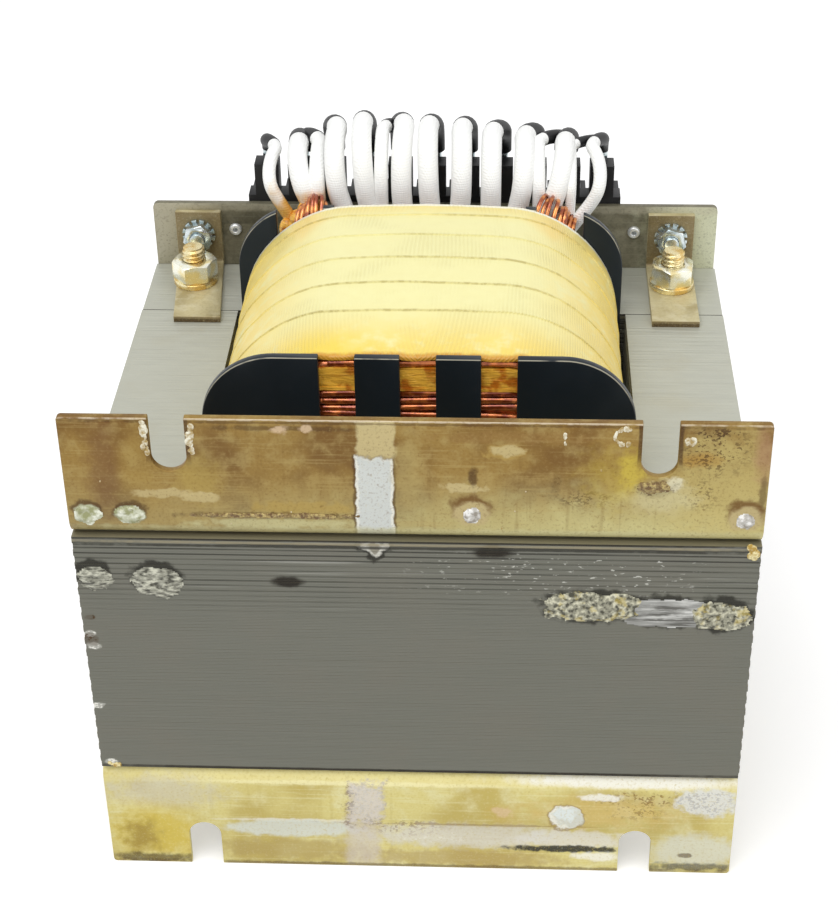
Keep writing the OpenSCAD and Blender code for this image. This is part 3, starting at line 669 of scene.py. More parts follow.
@dataclass(frozen=True)
class Braid(Finish):
    """White braided sleeving, stained amber where varnish has crept up it.

    Attributes:
        stain_x: the sleeves to the left of this are stained.
        stain_z: the height up to which they are.
        pitch: the distance between two threads.
    """

    stain_x: float
    stain_z: float
    pitch: float = 1.3

    def paint(self, skin: Skin) -> None:
        """Adds the finish's nodes.

        Args:
            skin: the material to paint.
        """
        across = skin.x + skin.y
        step = math.tau / self.pitch
        weave = skin.math("SINE", (skin.z + across) * step) * skin.math("SINE", (skin.z - across) * step)
        cloud = skin.noise(5.0, 3.0)
        colour = skin.mix(skin.ramp(weave, 0.0, 1.0) * 0.16, (0.985, 0.99, 0.975), (0.86, 0.87, 0.835))
        wet = skin.ramp(skin.z + (cloud - 0.5) * 11.0, self.stain_z + 4.0, self.stain_z - 3.0)
        wet = wet * skin.ramp(skin.x, self.stain_x + 1.0, self.stain_x - 1.0)
        colour = skin.mix(wet * 0.95, colour, (0.82, 0.45, 0.06))
        skin.finish(colour, 0.62 - 0.38 * wet, 0.0, weave * 0.05)


@dataclass(frozen=True)
class Crust(Finish):
    """Dried varnish and bare metal in flakes and bubbles.

    Attributes:
        low: its colour in the hollows.
        high: its colour on the humps.
        metal: how metallic it is.
        rough: its roughness.
        grain: how wide a bubble is.
        stretch: factors on the place, to draw the bubbles out.
        accent: a third colour in patches.
        touch: how strong that is.
    """

    low: Colour
    high: Colour
    metal: float = 0.4
    rough: float = 0.3
    grain: float = 1.3
    stretch: tuple[float, float, float] = (1.0, 1.0, 1.0)
    accent: Colour = (0.5, 0.5, 0.5)
    touch: float = 0.0

    def paint(self, skin: Skin) -> None:
        """Adds the finish's nodes.

        Args:
            skin: the material to paint.
        """
        humps = skin.noise(self.grain, 6.0, self.stretch, 17.0)
        patches = skin.noise(self.grain * 2.2, 3.0, self.stretch, 2.0)
        middle = tuple(0.62 * a + 0.38 * b for a, b in zip(self.low, self.high))
        colour = skin.mix(skin.ramp(humps, 0.36, 0.5), self.low, middle)
        colour = skin.mix(skin.ramp(humps + (patches - 0.5) * 0.3, 0.48, 0.66), colour, self.high)
        colour = skin.mix(skin.ramp(patches, 0.52, 0.66) * self.touch, colour, self.accent)
        skin.finish(colour, self.rough, self.metal, humps * 0.5, 0.15)


class Shaper(Graph):
    """A geometry node tree with named inputs that makes one mesh, in millimetres."""

    def __init__(self, name: str) -> None:
        """Makes an empty tree.

        Args:
            name: its name.
        """
        super().__init__(bpy.data.node_groups.new(name, "GeometryNodeTree"))
        self.name = name
        self.settings: dict[str, Any] = {}
        self.tree.interface.new_socket("Geometry", in_out="OUTPUT", socket_type="NodeSocketGeometry")
        self.tree.interface.new_socket("Source", in_out="INPUT", socket_type="NodeSocketGeometry")
        self.entry = self.tree.nodes.new("NodeGroupInput")
        self.source = Value(self, self.entry.outputs[0])

    def size(self, name: str, value: Any) -> Value:
        """Adds a named input.

        Args:
            name: its name.
            value: what the modifier sets it to; a whole number makes a whole-number input.

        Returns:
            The input inside the tree.
        """
        kind = "NodeSocketInt" if isinstance(value, int) else "NodeSocketFloat"
        made = self.tree.interface.new_socket(name, in_out="INPUT", socket_type=kind)
        self.settings[made.identifier] = value
        return Value(self, next(o for o in self.entry.outputs if o.identifier == made.identifier))

    def scatter(self, low: Sequence[float], high: Sequence[float], key: Value, seed: Value) -> Value:
        """A random vector for each key."""
        return self.node("FunctionNodeRandomValue", {"data_type": "FLOAT_VECTOR"},
                         {0: tuple(low), 1: tuple(high), "ID": key, "Seed": seed})

    def made(self, geometry: Value, finish: Finish, source: Mesh | None = None) -> Mesh:
        """Runs the tree once.

        Args:
            geometry: what the tree makes.
            finish: the finish it wears.
            source: the mesh it starts from.

        Returns:
            A plain mesh in metres.
        """
        real = self.node("GeometryNodeRealizeInstances", sockets={0: geometry})
        smooth = self.node("GeometryNodeSetShadeSmooth", sockets={0: real})
        clad = self.node("GeometryNodeSetMaterial", sockets={0: smooth, "Material": finish.material()})
        self.feed(self.tree.nodes.new("NodeGroupOutput").inputs[0], clad)
        carrier = bpy.data.objects.new(self.name, source or bpy.data.meshes.new(self.name))
        modifier = carrier.modifiers.new(self.name, "NODES")
        modifier.node_group = self.tree
        for identifier, value in self.settings.items():
            modifier[identifier] = value
        mesh = evaluated(carrier, MM)
        mesh.set_sharp_from_angle(angle=CREASE)
        return mesh


def evaluated(carrier: bpy.types.Object, scale: float = 1.0) -> Mesh:
    """Applies an object's modifiers and removes the object.

    Args:
        carrier: an object that isn't in the scene yet.
        scale: a factor on the result.

    Returns:
        The plain mesh.
    """
    bpy.context.scene.collection.objects.link(carrier)
    graph = bpy.context.evaluated_depsgraph_get()
    mesh = bpy.data.meshes.new_from_object(carrier.evaluated_get(graph))
    bpy.data.objects.remove(carrier)
    mesh.transform(Matrix.Scale(scale, 4))
    return mesh


def placed(name: str, data: Any) -> bpy.types.Object:
    """Adds an object to the scene.

    Args:
        name: its name.
        data: its mesh, lamp or camera.

    Returns:
        The object.
    """
    made = bpy.data.objects.new(name, data)
    bpy.context.scene.collection.objects.link(made)
    return made


def fitted(name: str, mesh: Mesh, finish: Finish, slot: Slot, *nodes: str) -> None:
    """Puts a finished mesh in place as a piece of the transformer.

    Args:
        name: the piece's name.
        mesh: its mesh, in metres.
        finish: its finish.
        slot: the record's slot that the finish stands for; not used.
        nodes: the CAD nodes that it stands for.
    """
    mesh.name = name
    mesh.materials.clear()
    mesh.materials.append(finish.material())
    piece = placed(name, mesh)
    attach(piece, "root")
    if nodes:
        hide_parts(*nodes)
    LOG.info("%s: %d faces", name, len(mesh.polygons))


def dressed(node: str, finish: Finish) -> None:
    """Gives a CAD node that stays a finish.

    Args:
        node: the CAD node.
        finish: its finish.
    """
    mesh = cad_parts[node].data
    mesh.materials.clear()
    mesh.materials.append(finish.material())
    LOG.info("%s: kept, %s", node, finish.name)


def plain(shape: bmesh.types.BMesh, name: str) -> Mesh:
    """Turns a working shape into a mesh.

    Args:
        shape: the shape, which is freed.
        name: the mesh's name.

    Returns:
        The mesh.
    """
    mesh = bpy.data.meshes.new(name)
    shape.to_mesh(mesh)
    shape.free()
    return mesh


def merged(node: str) -> bmesh.types.BMesh:
    """Copies a CAD node, with the loose corners of its triangles merged.

    Args:
        node: the CAD node.

    Returns:
        A working shape, in metres.
    """
    shape = bmesh.new()
    shape.from_mesh(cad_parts[node].data)
    bmesh.ops.remove_doubles(shape, verts=shape.verts, dist=WELD)
    return shape


def softened(node: str, edge: float) -> Mesh:
    """Copies a CAD node and rounds its sharp edges.

    Args:
        node: the CAD node.
        edge: how far each edge is cut back, in millimetres.

    Returns:
        The rounded mesh, in metres.
    """
    shape = merged(node)
    bmesh.ops.dissolve_limit(shape, angle_limit=math.radians(1.0), verts=shape.verts, edges=shape.edges)
    mesh = plain(shape, node + "_soft")
    for polygon in mesh.polygons:
        polygon.use_smooth = True
    carrier = bpy.data.objects.new(node + "_soft", mesh)
    bevel = carrier.modifiers.new("round", "BEVEL")
    bevel.width = edge * MM
    bevel.segments = 2
    bevel.limit_method = "ANGLE"
    bevel.angle_limit = SHARP
    bevel.harden_normals = True
    return evaluated(carrier)


def rounded(name: str, node: str, edge: float, finish: Finish, slot: Slot) -> None:
    """Puts a CAD node in place as a piece with its sharp edges rounded."""
    fitted(name, softened(node, edge), finish, slot, node)


def loose_boxes(node: str) -> list[tuple[Vector, Vector]]:
    """Finds the boxes of a CAD node's separate solids.

    Args:
        node: the CAD node.

    Returns:
        Their lowest and highest corners, in millimetres, from front to back and left to right.
    """
    shape = merged(node)
    left = set(shape.verts)
    boxes = []
    while left:
        todo = [left.pop()]
        found = []
        while todo:
            vert = todo.pop()
            found.append(vert.co / MM)
            near = {edge.other_vert(vert) for edge in vert.link_edges} & left
            left -= near
            todo.extend(near)
        boxes.append((Vector(map(min, zip(*found))), Vector(map(max, zip(*found)))))
    shape.free()
    return sorted(boxes, key=lambda pair: (round(pair[0].y), pair[0].x))


def limits(node: str) -> tuple[Vector, Vector]:
    """The lowest and highest corner of a CAD node, in millimetres."""
    low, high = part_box(node)
    return Vector(low) / MM, Vector(high) / MM


def polylines(paths: Iterable[Sequence[Vector]], closed: bool) -> Mesh:
    """Draws bare edges along each path.

    Args:
        paths: the points of each.
        closed: whether each comes back to its start.

    Returns:
        The mesh.
    """
    points: list[Vector] = []
    edges: list[tuple[int, int]] = []
    for path in paths:
        first = len(points)
        points.extend(path)
        edges.extend((first + i, first + i + 1) for i in range(len(path) - 1))
        if closed:
            edges.append((len(points) - 1, first))
    mesh = bpy.data.meshes.new("paths")
    mesh.from_pydata(points, edges, [])
    return mesh


def swept(name: str, paths: Iterable[Sequence[Vector]], radius: float, finish: Finish, sides: int,
          closed: bool = False) -> Mesh:
    """Draws a round wire or tube along each path.

    Args:
        name: the tree's name.
        paths: the centre lines.
        radius: the wire's radius.
        finish: its finish.
        sides: the number of its sides.
        closed: whether each path comes back to its start.

    Returns:
        The mesh, in metres.
    """
    shaper = Shaper(name)
    curve = shaper.node("GeometryNodeMeshToCurve", sockets={0: shaper.source})
    circle = shaper.node("GeometryNodeCurvePrimitiveCircle",
                         sockets={"Resolution": shaper.size("Sides", sides),
                                  "Radius": shaper.size("Radius", radius)})
    tube = shaper.node("GeometryNodeCurveToMesh", sockets={0: curve, 1: circle, "Fill Caps": not closed})
    return shaper.made(tube, finish, polylines(paths, closed))


def joined(meshes: Iterable[Mesh]) -> Mesh:
    """Joins several meshes.

    Args:
        meshes: the meshes.

    Returns:
        One mesh.
    """
    shape = bmesh.new()
    for mesh in meshes:
        shape.from_mesh(mesh)
    return plain(shape, "joined")


def lofted(rings: Sequence[Sequence[Vector]]) -> Mesh:
    """Draws a closed skin through rings, the last one joined to the first.

    Args:
        rings: the points of each, equal in number, in millimetres.

    Returns:
        The mesh, in metres.
    """
    count, across = len(rings), len(rings[0])
    faces = [(i * across + j, i * across + (j + 1) % across,
              (i + 1) % count * across + (j + 1) % across, (i + 1) % count * across + j)
             for i in range(count) for j in range(across)]
    mesh = bpy.data.meshes.new("loft")
    mesh.from_pydata([point * MM for ring in rings for point in ring], [], faces)
    shape = bmesh.new()
    shape.from_mesh(mesh)
    bmesh.ops.recalc_face_normals(shape, faces=shape.faces)
    for face in shape.faces:
        face.smooth = True
    shape.to_mesh(mesh)
    shape.free()
    mesh.set_sharp_from_angle(angle=math.radians(50.0))
    return mesh


@dataclass(frozen=True)
class Clot:
    """A crusty patch on a face that looks along -Y.

    Attributes:
        x: its middle.
        z: its middle.
        wide: half its width.
        high: half its height.
        thick: how far it stands out.
        seed: what makes it differ from the others.
        ragged: how far its edge wanders.
        power: 2 for an oval; more makes it squarer.
    """

    x: float
    z: float
    wide: float
    high: float
    thick: float = 0.5
    seed: float = 0.0
    ragged: float = 0.9
    power: float = 2.0

    def mesh(self, face_y: float, finish: Finish) -> Mesh:
        """Grows the patch on a face.

        Args:
            face_y: where the face lies.
            finish: the patch's finish.

        Returns:
            A closed mesh, in metres.
        """
        shaper = Shaper("crust")
        wide, high = shaper.size("Half width", self.wide), shaper.size("Half height", self.high)
        thick, seed = shaper.size("Thickness", self.thick), shaper.size("Seed", self.seed)
        grid = shaper.node("GeometryNodeMeshGrid", sockets={
            "Size X": wide * 2.6, "Size Y": high * 2.6,
            "Vertices X": max(12, int(self.wide * 9)), "Vertices Y": max(12, int(self.high * 9))})
        x, y, _ = shaper.parts(shaper.node("GeometryNodeInputPosition"))
        point = shaper.joined(x, y, seed * 20.0)
        far = (abs(x / wide) ** self.power + abs(y / high) ** self.power) ** (1.0 / self.power)
        far = far + (shaper.texture(point, 2.6, 4.0) - 0.5) * self.ragged
        outside = shaper.math("GREATER_THAN", far, 1.0)
        sheet = shaper.node("GeometryNodeDeleteGeometry", {"domain": "FACE"}, {0: grid, "Selection": outside})
        lifted = shaper.node("GeometryNodeExtrudeMesh",
                             sockets={0: sheet, "Offset": (0.0, 0.0, 1.0), "Offset Scale": 0.3,
                                      "Individual": False})
        top = Value(shaper, lifted.socket.node.outputs["Top"])
        swell = shaper.ramp(far, 1.0, 0.6) * (shaper.texture(point, 1.3, 3.0) * 1.6 - 0.3) * thick
        lifted = shaper.node("GeometryNodeSetPosition",
                             sockets={0: lifted, "Selection": top, "Offset": shaper.joined(0.0, 0.0, swell)})
        under = shaper.node("GeometryNodeFlipFaces", sockets={0: sheet})
        both = shaper.node("GeometryNodeJoinGeometry", sockets={0: lifted})
        shaper.feed(both.socket.node.inputs[0], under)
        whole = shaper.node("GeometryNodeMergeByDistance", sockets={0: both, "Distance": 0.001})
        turned = shaper.node("GeometryNodeTransform", sockets={
            0: whole, "Translation": (self.x, face_y + 0.25, self.z),
            "Rotation": Euler((math.pi / 2, 0.0, 0.0))})
        return shaper.made(turned, finish)


def crusted(name: str, clots: Iterable[Clot], face_y: float, finish: Finish, slot: Slot) -> None:
    """Grows some patches on a face and puts them in place as one piece."""
    fitted(name, joined(clot.mesh(face_y, finish) for clot in clots), finish, slot)


def drops(places: Sequence[Bead], face_y: float, finish: Finish, flat: float,
          tall: float = 1.0) -> Mesh:
    """Beads of dried varnish on a face that looks along -Y.

    Args:
        places: the x, z and radius of each.
        face_y: where the face lies.
        finish: their finish.
        flat: how far they stand out, as a share of their radius.
        tall: their height as a share of their width.

    Returns:
        The mesh, in metres.
    """
    points = bpy.data.meshes.new("places")
    points.from_pydata([(x, face_y, z) for x, z, _ in places], [], [])
    points.attributes.new("girth", "FLOAT", "POINT").data.foreach_set("value", [r for _, _, r in places])
    shaper = Shaper("drops")
    flatness, height = shaper.size("Flatness", flat), shaper.size("Height", tall)
    key = shaper.size("Seed", 3)
    girth = shaper.node("GeometryNodeInputNamedAttribute", {"data_type": "FLOAT"}, {"Name": "girth"})
    ball = shaper.node("GeometryNodeMeshIcoSphere", sockets={"Radius": 1.0, "Subdivisions": 3})
    uneven = shaper.scatter((0.75, 0.8, 0.75), (1.25, 1.2, 1.25), shaper.node("GeometryNodeInputIndex"), key)
    size = shaper.vector("MULTIPLY", uneven, shaper.joined(girth, girth * flatness, girth * height))
    copies = shaper.node("GeometryNodeInstanceOnPoints",
                         sockets={"Points": shaper.source, "Instance": ball, "Scale": size})
    return shaper.made(copies, finish, points)


class Assembly:
    """A group of pieces that is built together."""

    def build(self) -> None:
        """Makes the pieces and puts them in place."""
        raise NotImplementedError


@dataclass
class LaminatedCore(Assembly):
    """The core: E and I sheets stacked in packets that turn end for end.

    Attributes:
        sheets: the number of sheets.
        packet: the number that lie the same way.
        seed: the seed of the sheets' small shifts.
        shift: how far a packet is off its place.
        joint: half the gap between an E and an I.
        holes: the bolt holes' places from the core's middle, at the back.
        hole_r: their radius.
        hole_sides: the number of their sides.
        fill: the share of its pitch that a sheet fills.
    """

    sheets: int = 152
    packet: int = 4
    seed: int = 11
    shift: float = 0.03
    joint: float = 0.15
    holes: tuple[tuple[float, float], ...] = ((-67.5, 54.0), (67.5, 54.0))
    hole_r: float = 3.6
    hole_sides: int = 16
    fill: float = 0.93

    def outline(self, corners: Sequence[tuple[float, float]], holes: Sequence[tuple[float, float]],
                thick: float) -> Mesh:
        """Cuts one sheet.

        Args:
            corners: its outline.
            holes: the middles of its bolt holes.
            thick: its thickness.

        Returns:
            A closed mesh, in millimetres.
        """
        shape = bmesh.new()
        loops = [list(corners)]
        for x, y in holes:
            loops.append([(x + self.hole_r * math.cos(a), y + self.hole_r * math.sin(a))
                          for a in (math.tau * i / self.hole_sides for i in range(self.hole_sides))])
        for loop in loops:
            verts = [shape.verts.new((x, y, 0.0)) for x, y in loop]
            for first, second in zip(verts, verts[1:] + verts[:1]):
                shape.edges.new((first, second))
        bmesh.ops.triangle_fill(shape, use_beauty=True, edges=shape.edges[:])
        grown = bmesh.ops.extrude_face_region(shape, geom=shape.faces[:])["geom"]
        bmesh.ops.translate(shape, vec=(0.0, 0.0, thick),
                            verts=[v for v in grown if isinstance(v, bmesh.types.BMVert)])
        bmesh.ops.recalc_face_normals(shape, faces=shape.faces)
        return plain(shape, "sheet")

    def stacked(self, name: str, sheet: Mesh, middle: Vector, pitch: float,
                finish: Finish) -> Mesh:
        """Stacks a sheet.

        Args:
            name: the tree's name.
            sheet: one sheet about the core's middle.
            middle: the middle of the stack's underside.
            pitch: the height that each sheet takes.
            finish: their finish.

        Returns:
            The stack, in metres.
        """
        shaper = Shaper(name)
        count, packet = shaper.size("Sheets", self.sheets), shaper.size("Packet", self.packet)
        rise, seed = shaper.size("Pitch", pitch), shaper.size("Seed", self.seed)
        line = shaper.node("GeometryNodeMeshLine",
                           sockets={"Count": count, "Offset": shaper.joined(0.0, 0.0, rise)})
        index = shaper.node("GeometryNodeInputIndex")
        group = shaper.math("FLOOR", (count - index - 1.0) / packet)
        turn = shaper.math("MODULO", group, 2.0) * math.pi
        copies = shaper.node("GeometryNodeInstanceOnPoints", sockets={
            "Points": line, "Instance": shaper.source, "Rotation": shaper.joined(0.0, 0.0, turn)})
        off = self.shift
        loose = shaper.vector("ADD", shaper.scatter((-off, -off / 2, 0.0), (off, off / 2, 0.0), index, seed),
                              shaper.scatter((-off, 0.0, 0.0), (off, off, 0.0), group, seed))
        copies = shaper.node("GeometryNodeTranslateInstances",
                             sockets={0: copies, "Translation": loose, "Local Space": False})
        stack = shaper.node("GeometryNodeTransform", sockets={0: copies, "Translation": tuple(middle)})
        return shaper.made(stack, finish, sheet)

    def build(self) -> None:
        """Makes both stacks and puts them in place."""
        low, high = limits("e_laminations")
        half_x, half_y = (high.x - low.x) / 2, (limits("i_laminations")[1].y - low.y) / 2
        leg = tongue = half_x / 3
        back, window, ins = half_y - leg, half_x - leg, self.joint
        middle = Vector((0.0, low.y + half_y, low.z))
        pitch = (high.z - low.z) / self.sheets
        finish = LaminationSteel("lamination_steel", self.marks(high.z), high.z, low.y, pitch * self.packet)
        e_shape = [(-half_x, -half_y), (half_x, -half_y), (half_x, back - ins), (window, back - ins),
                   (window, -back), (tongue, -back), (tongue, back - ins), (-tongue, back - ins),
                   (-tongue, -back), (-window, -back), (-window, back - ins), (-half_x, back - ins)]
        i_shape = [(-half_x + ins, back + ins), (half_x - ins, back + ins),
                   (half_x - ins, half_y), (-half_x + ins, half_y)]
        front_holes = [(x, -y) for x, y in self.holes]
        for name, shape, holes, node in (("e_stack", e_shape, front_holes, "e_laminations"),
                                         ("i_stack", i_shape, self.holes, "i_laminations")):
            mesh = self.stacked(name, self.outline(shape, holes, pitch * self.fill), middle, pitch, finish)
            fitted(name, mesh, finish, Slot.CORE, node)
        self.crusts(low.y, high.z)

    def marks(self, top: float) -> tuple[Mark, ...]:
        """Lists the pits and stains on the front, the shadows painted over the crusty patches and the shade
        painted in the grooves at the brackets' bends.

        Args:
            top: the height of the core's top.

        Returns:
            The marks.
        """
        pit_and_groove_shade, brown, pale = (0.014, 0.01, 0.006), (0.07, 0.035, 0.012), (0.66, 0.65, 0.58)
        shadow, bronze, white = (0.022, 0.021, 0.016), (0.42, 0.36, 0.22), (0.88, 0.87, 0.8)
        ovals = [Mark(x, -deep, wide, high, pit_and_groove_shade, 0.95, 0.35, 0.5)
                 for x, deep, wide, high in ((-30.3, 12.4, 3.5, 1.6), (18.4, 2.6, 4.3, 1.8))]
        patches = ((-76.9, 10.3, 4.4, 3.7), (-61.8, 11.9, 6.4, 4.9), (42.3, 18.3, 12.6, 5.0),
                   (60.1, 19.6, 9.0, 5.0), (72.9, 20.2, 8.0, 5.3))
        # painted shadows over the upper edge of each crusty patch
        patch_shadows = [Mark(x, -deep, wide, high, shadow, 0.9, 0.14, 0.5)
                    for x, deep, wide, high in patches]
        spots = ((29.0, 1.2, 0.3, white), (33.0, 1.4, 0.6, white), (24.0, 1.0, 0.8, brown),
                 (31.0, 2.6, 0.4, brown), (52.0, 1.2, 0.0, white), (70.8, 1.2, 1.4, white))
        chips = [Mark(-79.6 + push, -deep, 1.5, high * 0.8, colour, 0.95, 0.25, 1.2, grain=0.6)
                 for deep, high, push, colour in spots]
        table = (
            *ovals, *patch_shadows, *chips,
            Mark(-9.2, -3.4, 2.8, 3.9, shadow, 0.9, 0.2, 1.3, taper=0.75),
            Mark(-9.2, -2.5, 2.3, 2.7, pale, 0.9, 0.25, 1.5, taper=0.75),
            Mark(-9.4, -2.2, 1.3, 2.0, (0.2, 0.18, 0.13), 0.8, 0.3, 1.6, taper=0.7),
            # painted shade in the groove under the upper bracket's bend
            Mark(0.0, -0.2, 82.0, 0.4, pit_and_groove_shade, 0.85, 0.4, 0.5, True),
            Mark(0.0, -1.1, 82.0, 0.35, bronze, 0.5, 0.4, 0.9, True),
            Mark(0.0, -2.0, 82.0, 0.35, shadow, 0.8, 0.4, 0.7, True),
            # painted shade in the groove over the lower bracket's bend
            Mark(0.0, -72.3, 82.0, 0.5, pit_and_groove_shade, 0.9, 0.4, 0.4, True),
        )
        return tuple(mark.over(top) for mark in table)

    def crusts(self, face_y: float, top: float) -> None:
        """Grows the crusty patches on the front.

        Args:
            face_y: where the front lies.
            top: the height of the core's top.
        """
        silver = Crust("silver_crust", (0.05, 0.048, 0.03), (0.61, 0.605, 0.485), 0.12, 0.28, 1.15,
                       (0.6, 1.0, 1.3))
        ribbed = Crust("ribbed_silver", (0.1, 0.098, 0.085), (0.62, 0.62, 0.59), 0.3, 0.3, 0.9,
                       (0.08, 1.0, 1.0))
        gold = Crust("gold_crust", (0.05, 0.048, 0.026), (0.68, 0.66, 0.49), 0.15, 0.22, 1.2,
                     accent=(0.52, 0.4, 0.07), touch=0.55)
        grey = (Clot(-76.2, top - 12.2, 4.1, 3.6, 0.9, 1.0),
                Clot(-61.6, top - 12.9, 6.2, 4.5, 1.0, 2.0))
        bare = (Clot(59.6, top - 20.0, 9.6, 4.1, 0.3, 3.0, 0.4, 6.0),)
        warm = (Clot(42.3, top - 18.6, 12.2, 4.2, 0.9, 4.0, 0.8, 3.0),
                Clot(72.9, top - 20.8, 7.2, 4.2, 0.9, 5.0, 0.8, 3.0))
        crusted("core_silver_crust", grey, face_y, silver, Slot.CORE)
        crusted("core_ribbed_crust", bare, face_y, ribbed, Slot.CORE)
        crusted("core_gold_crust", warm, face_y, gold, Slot.CORE)


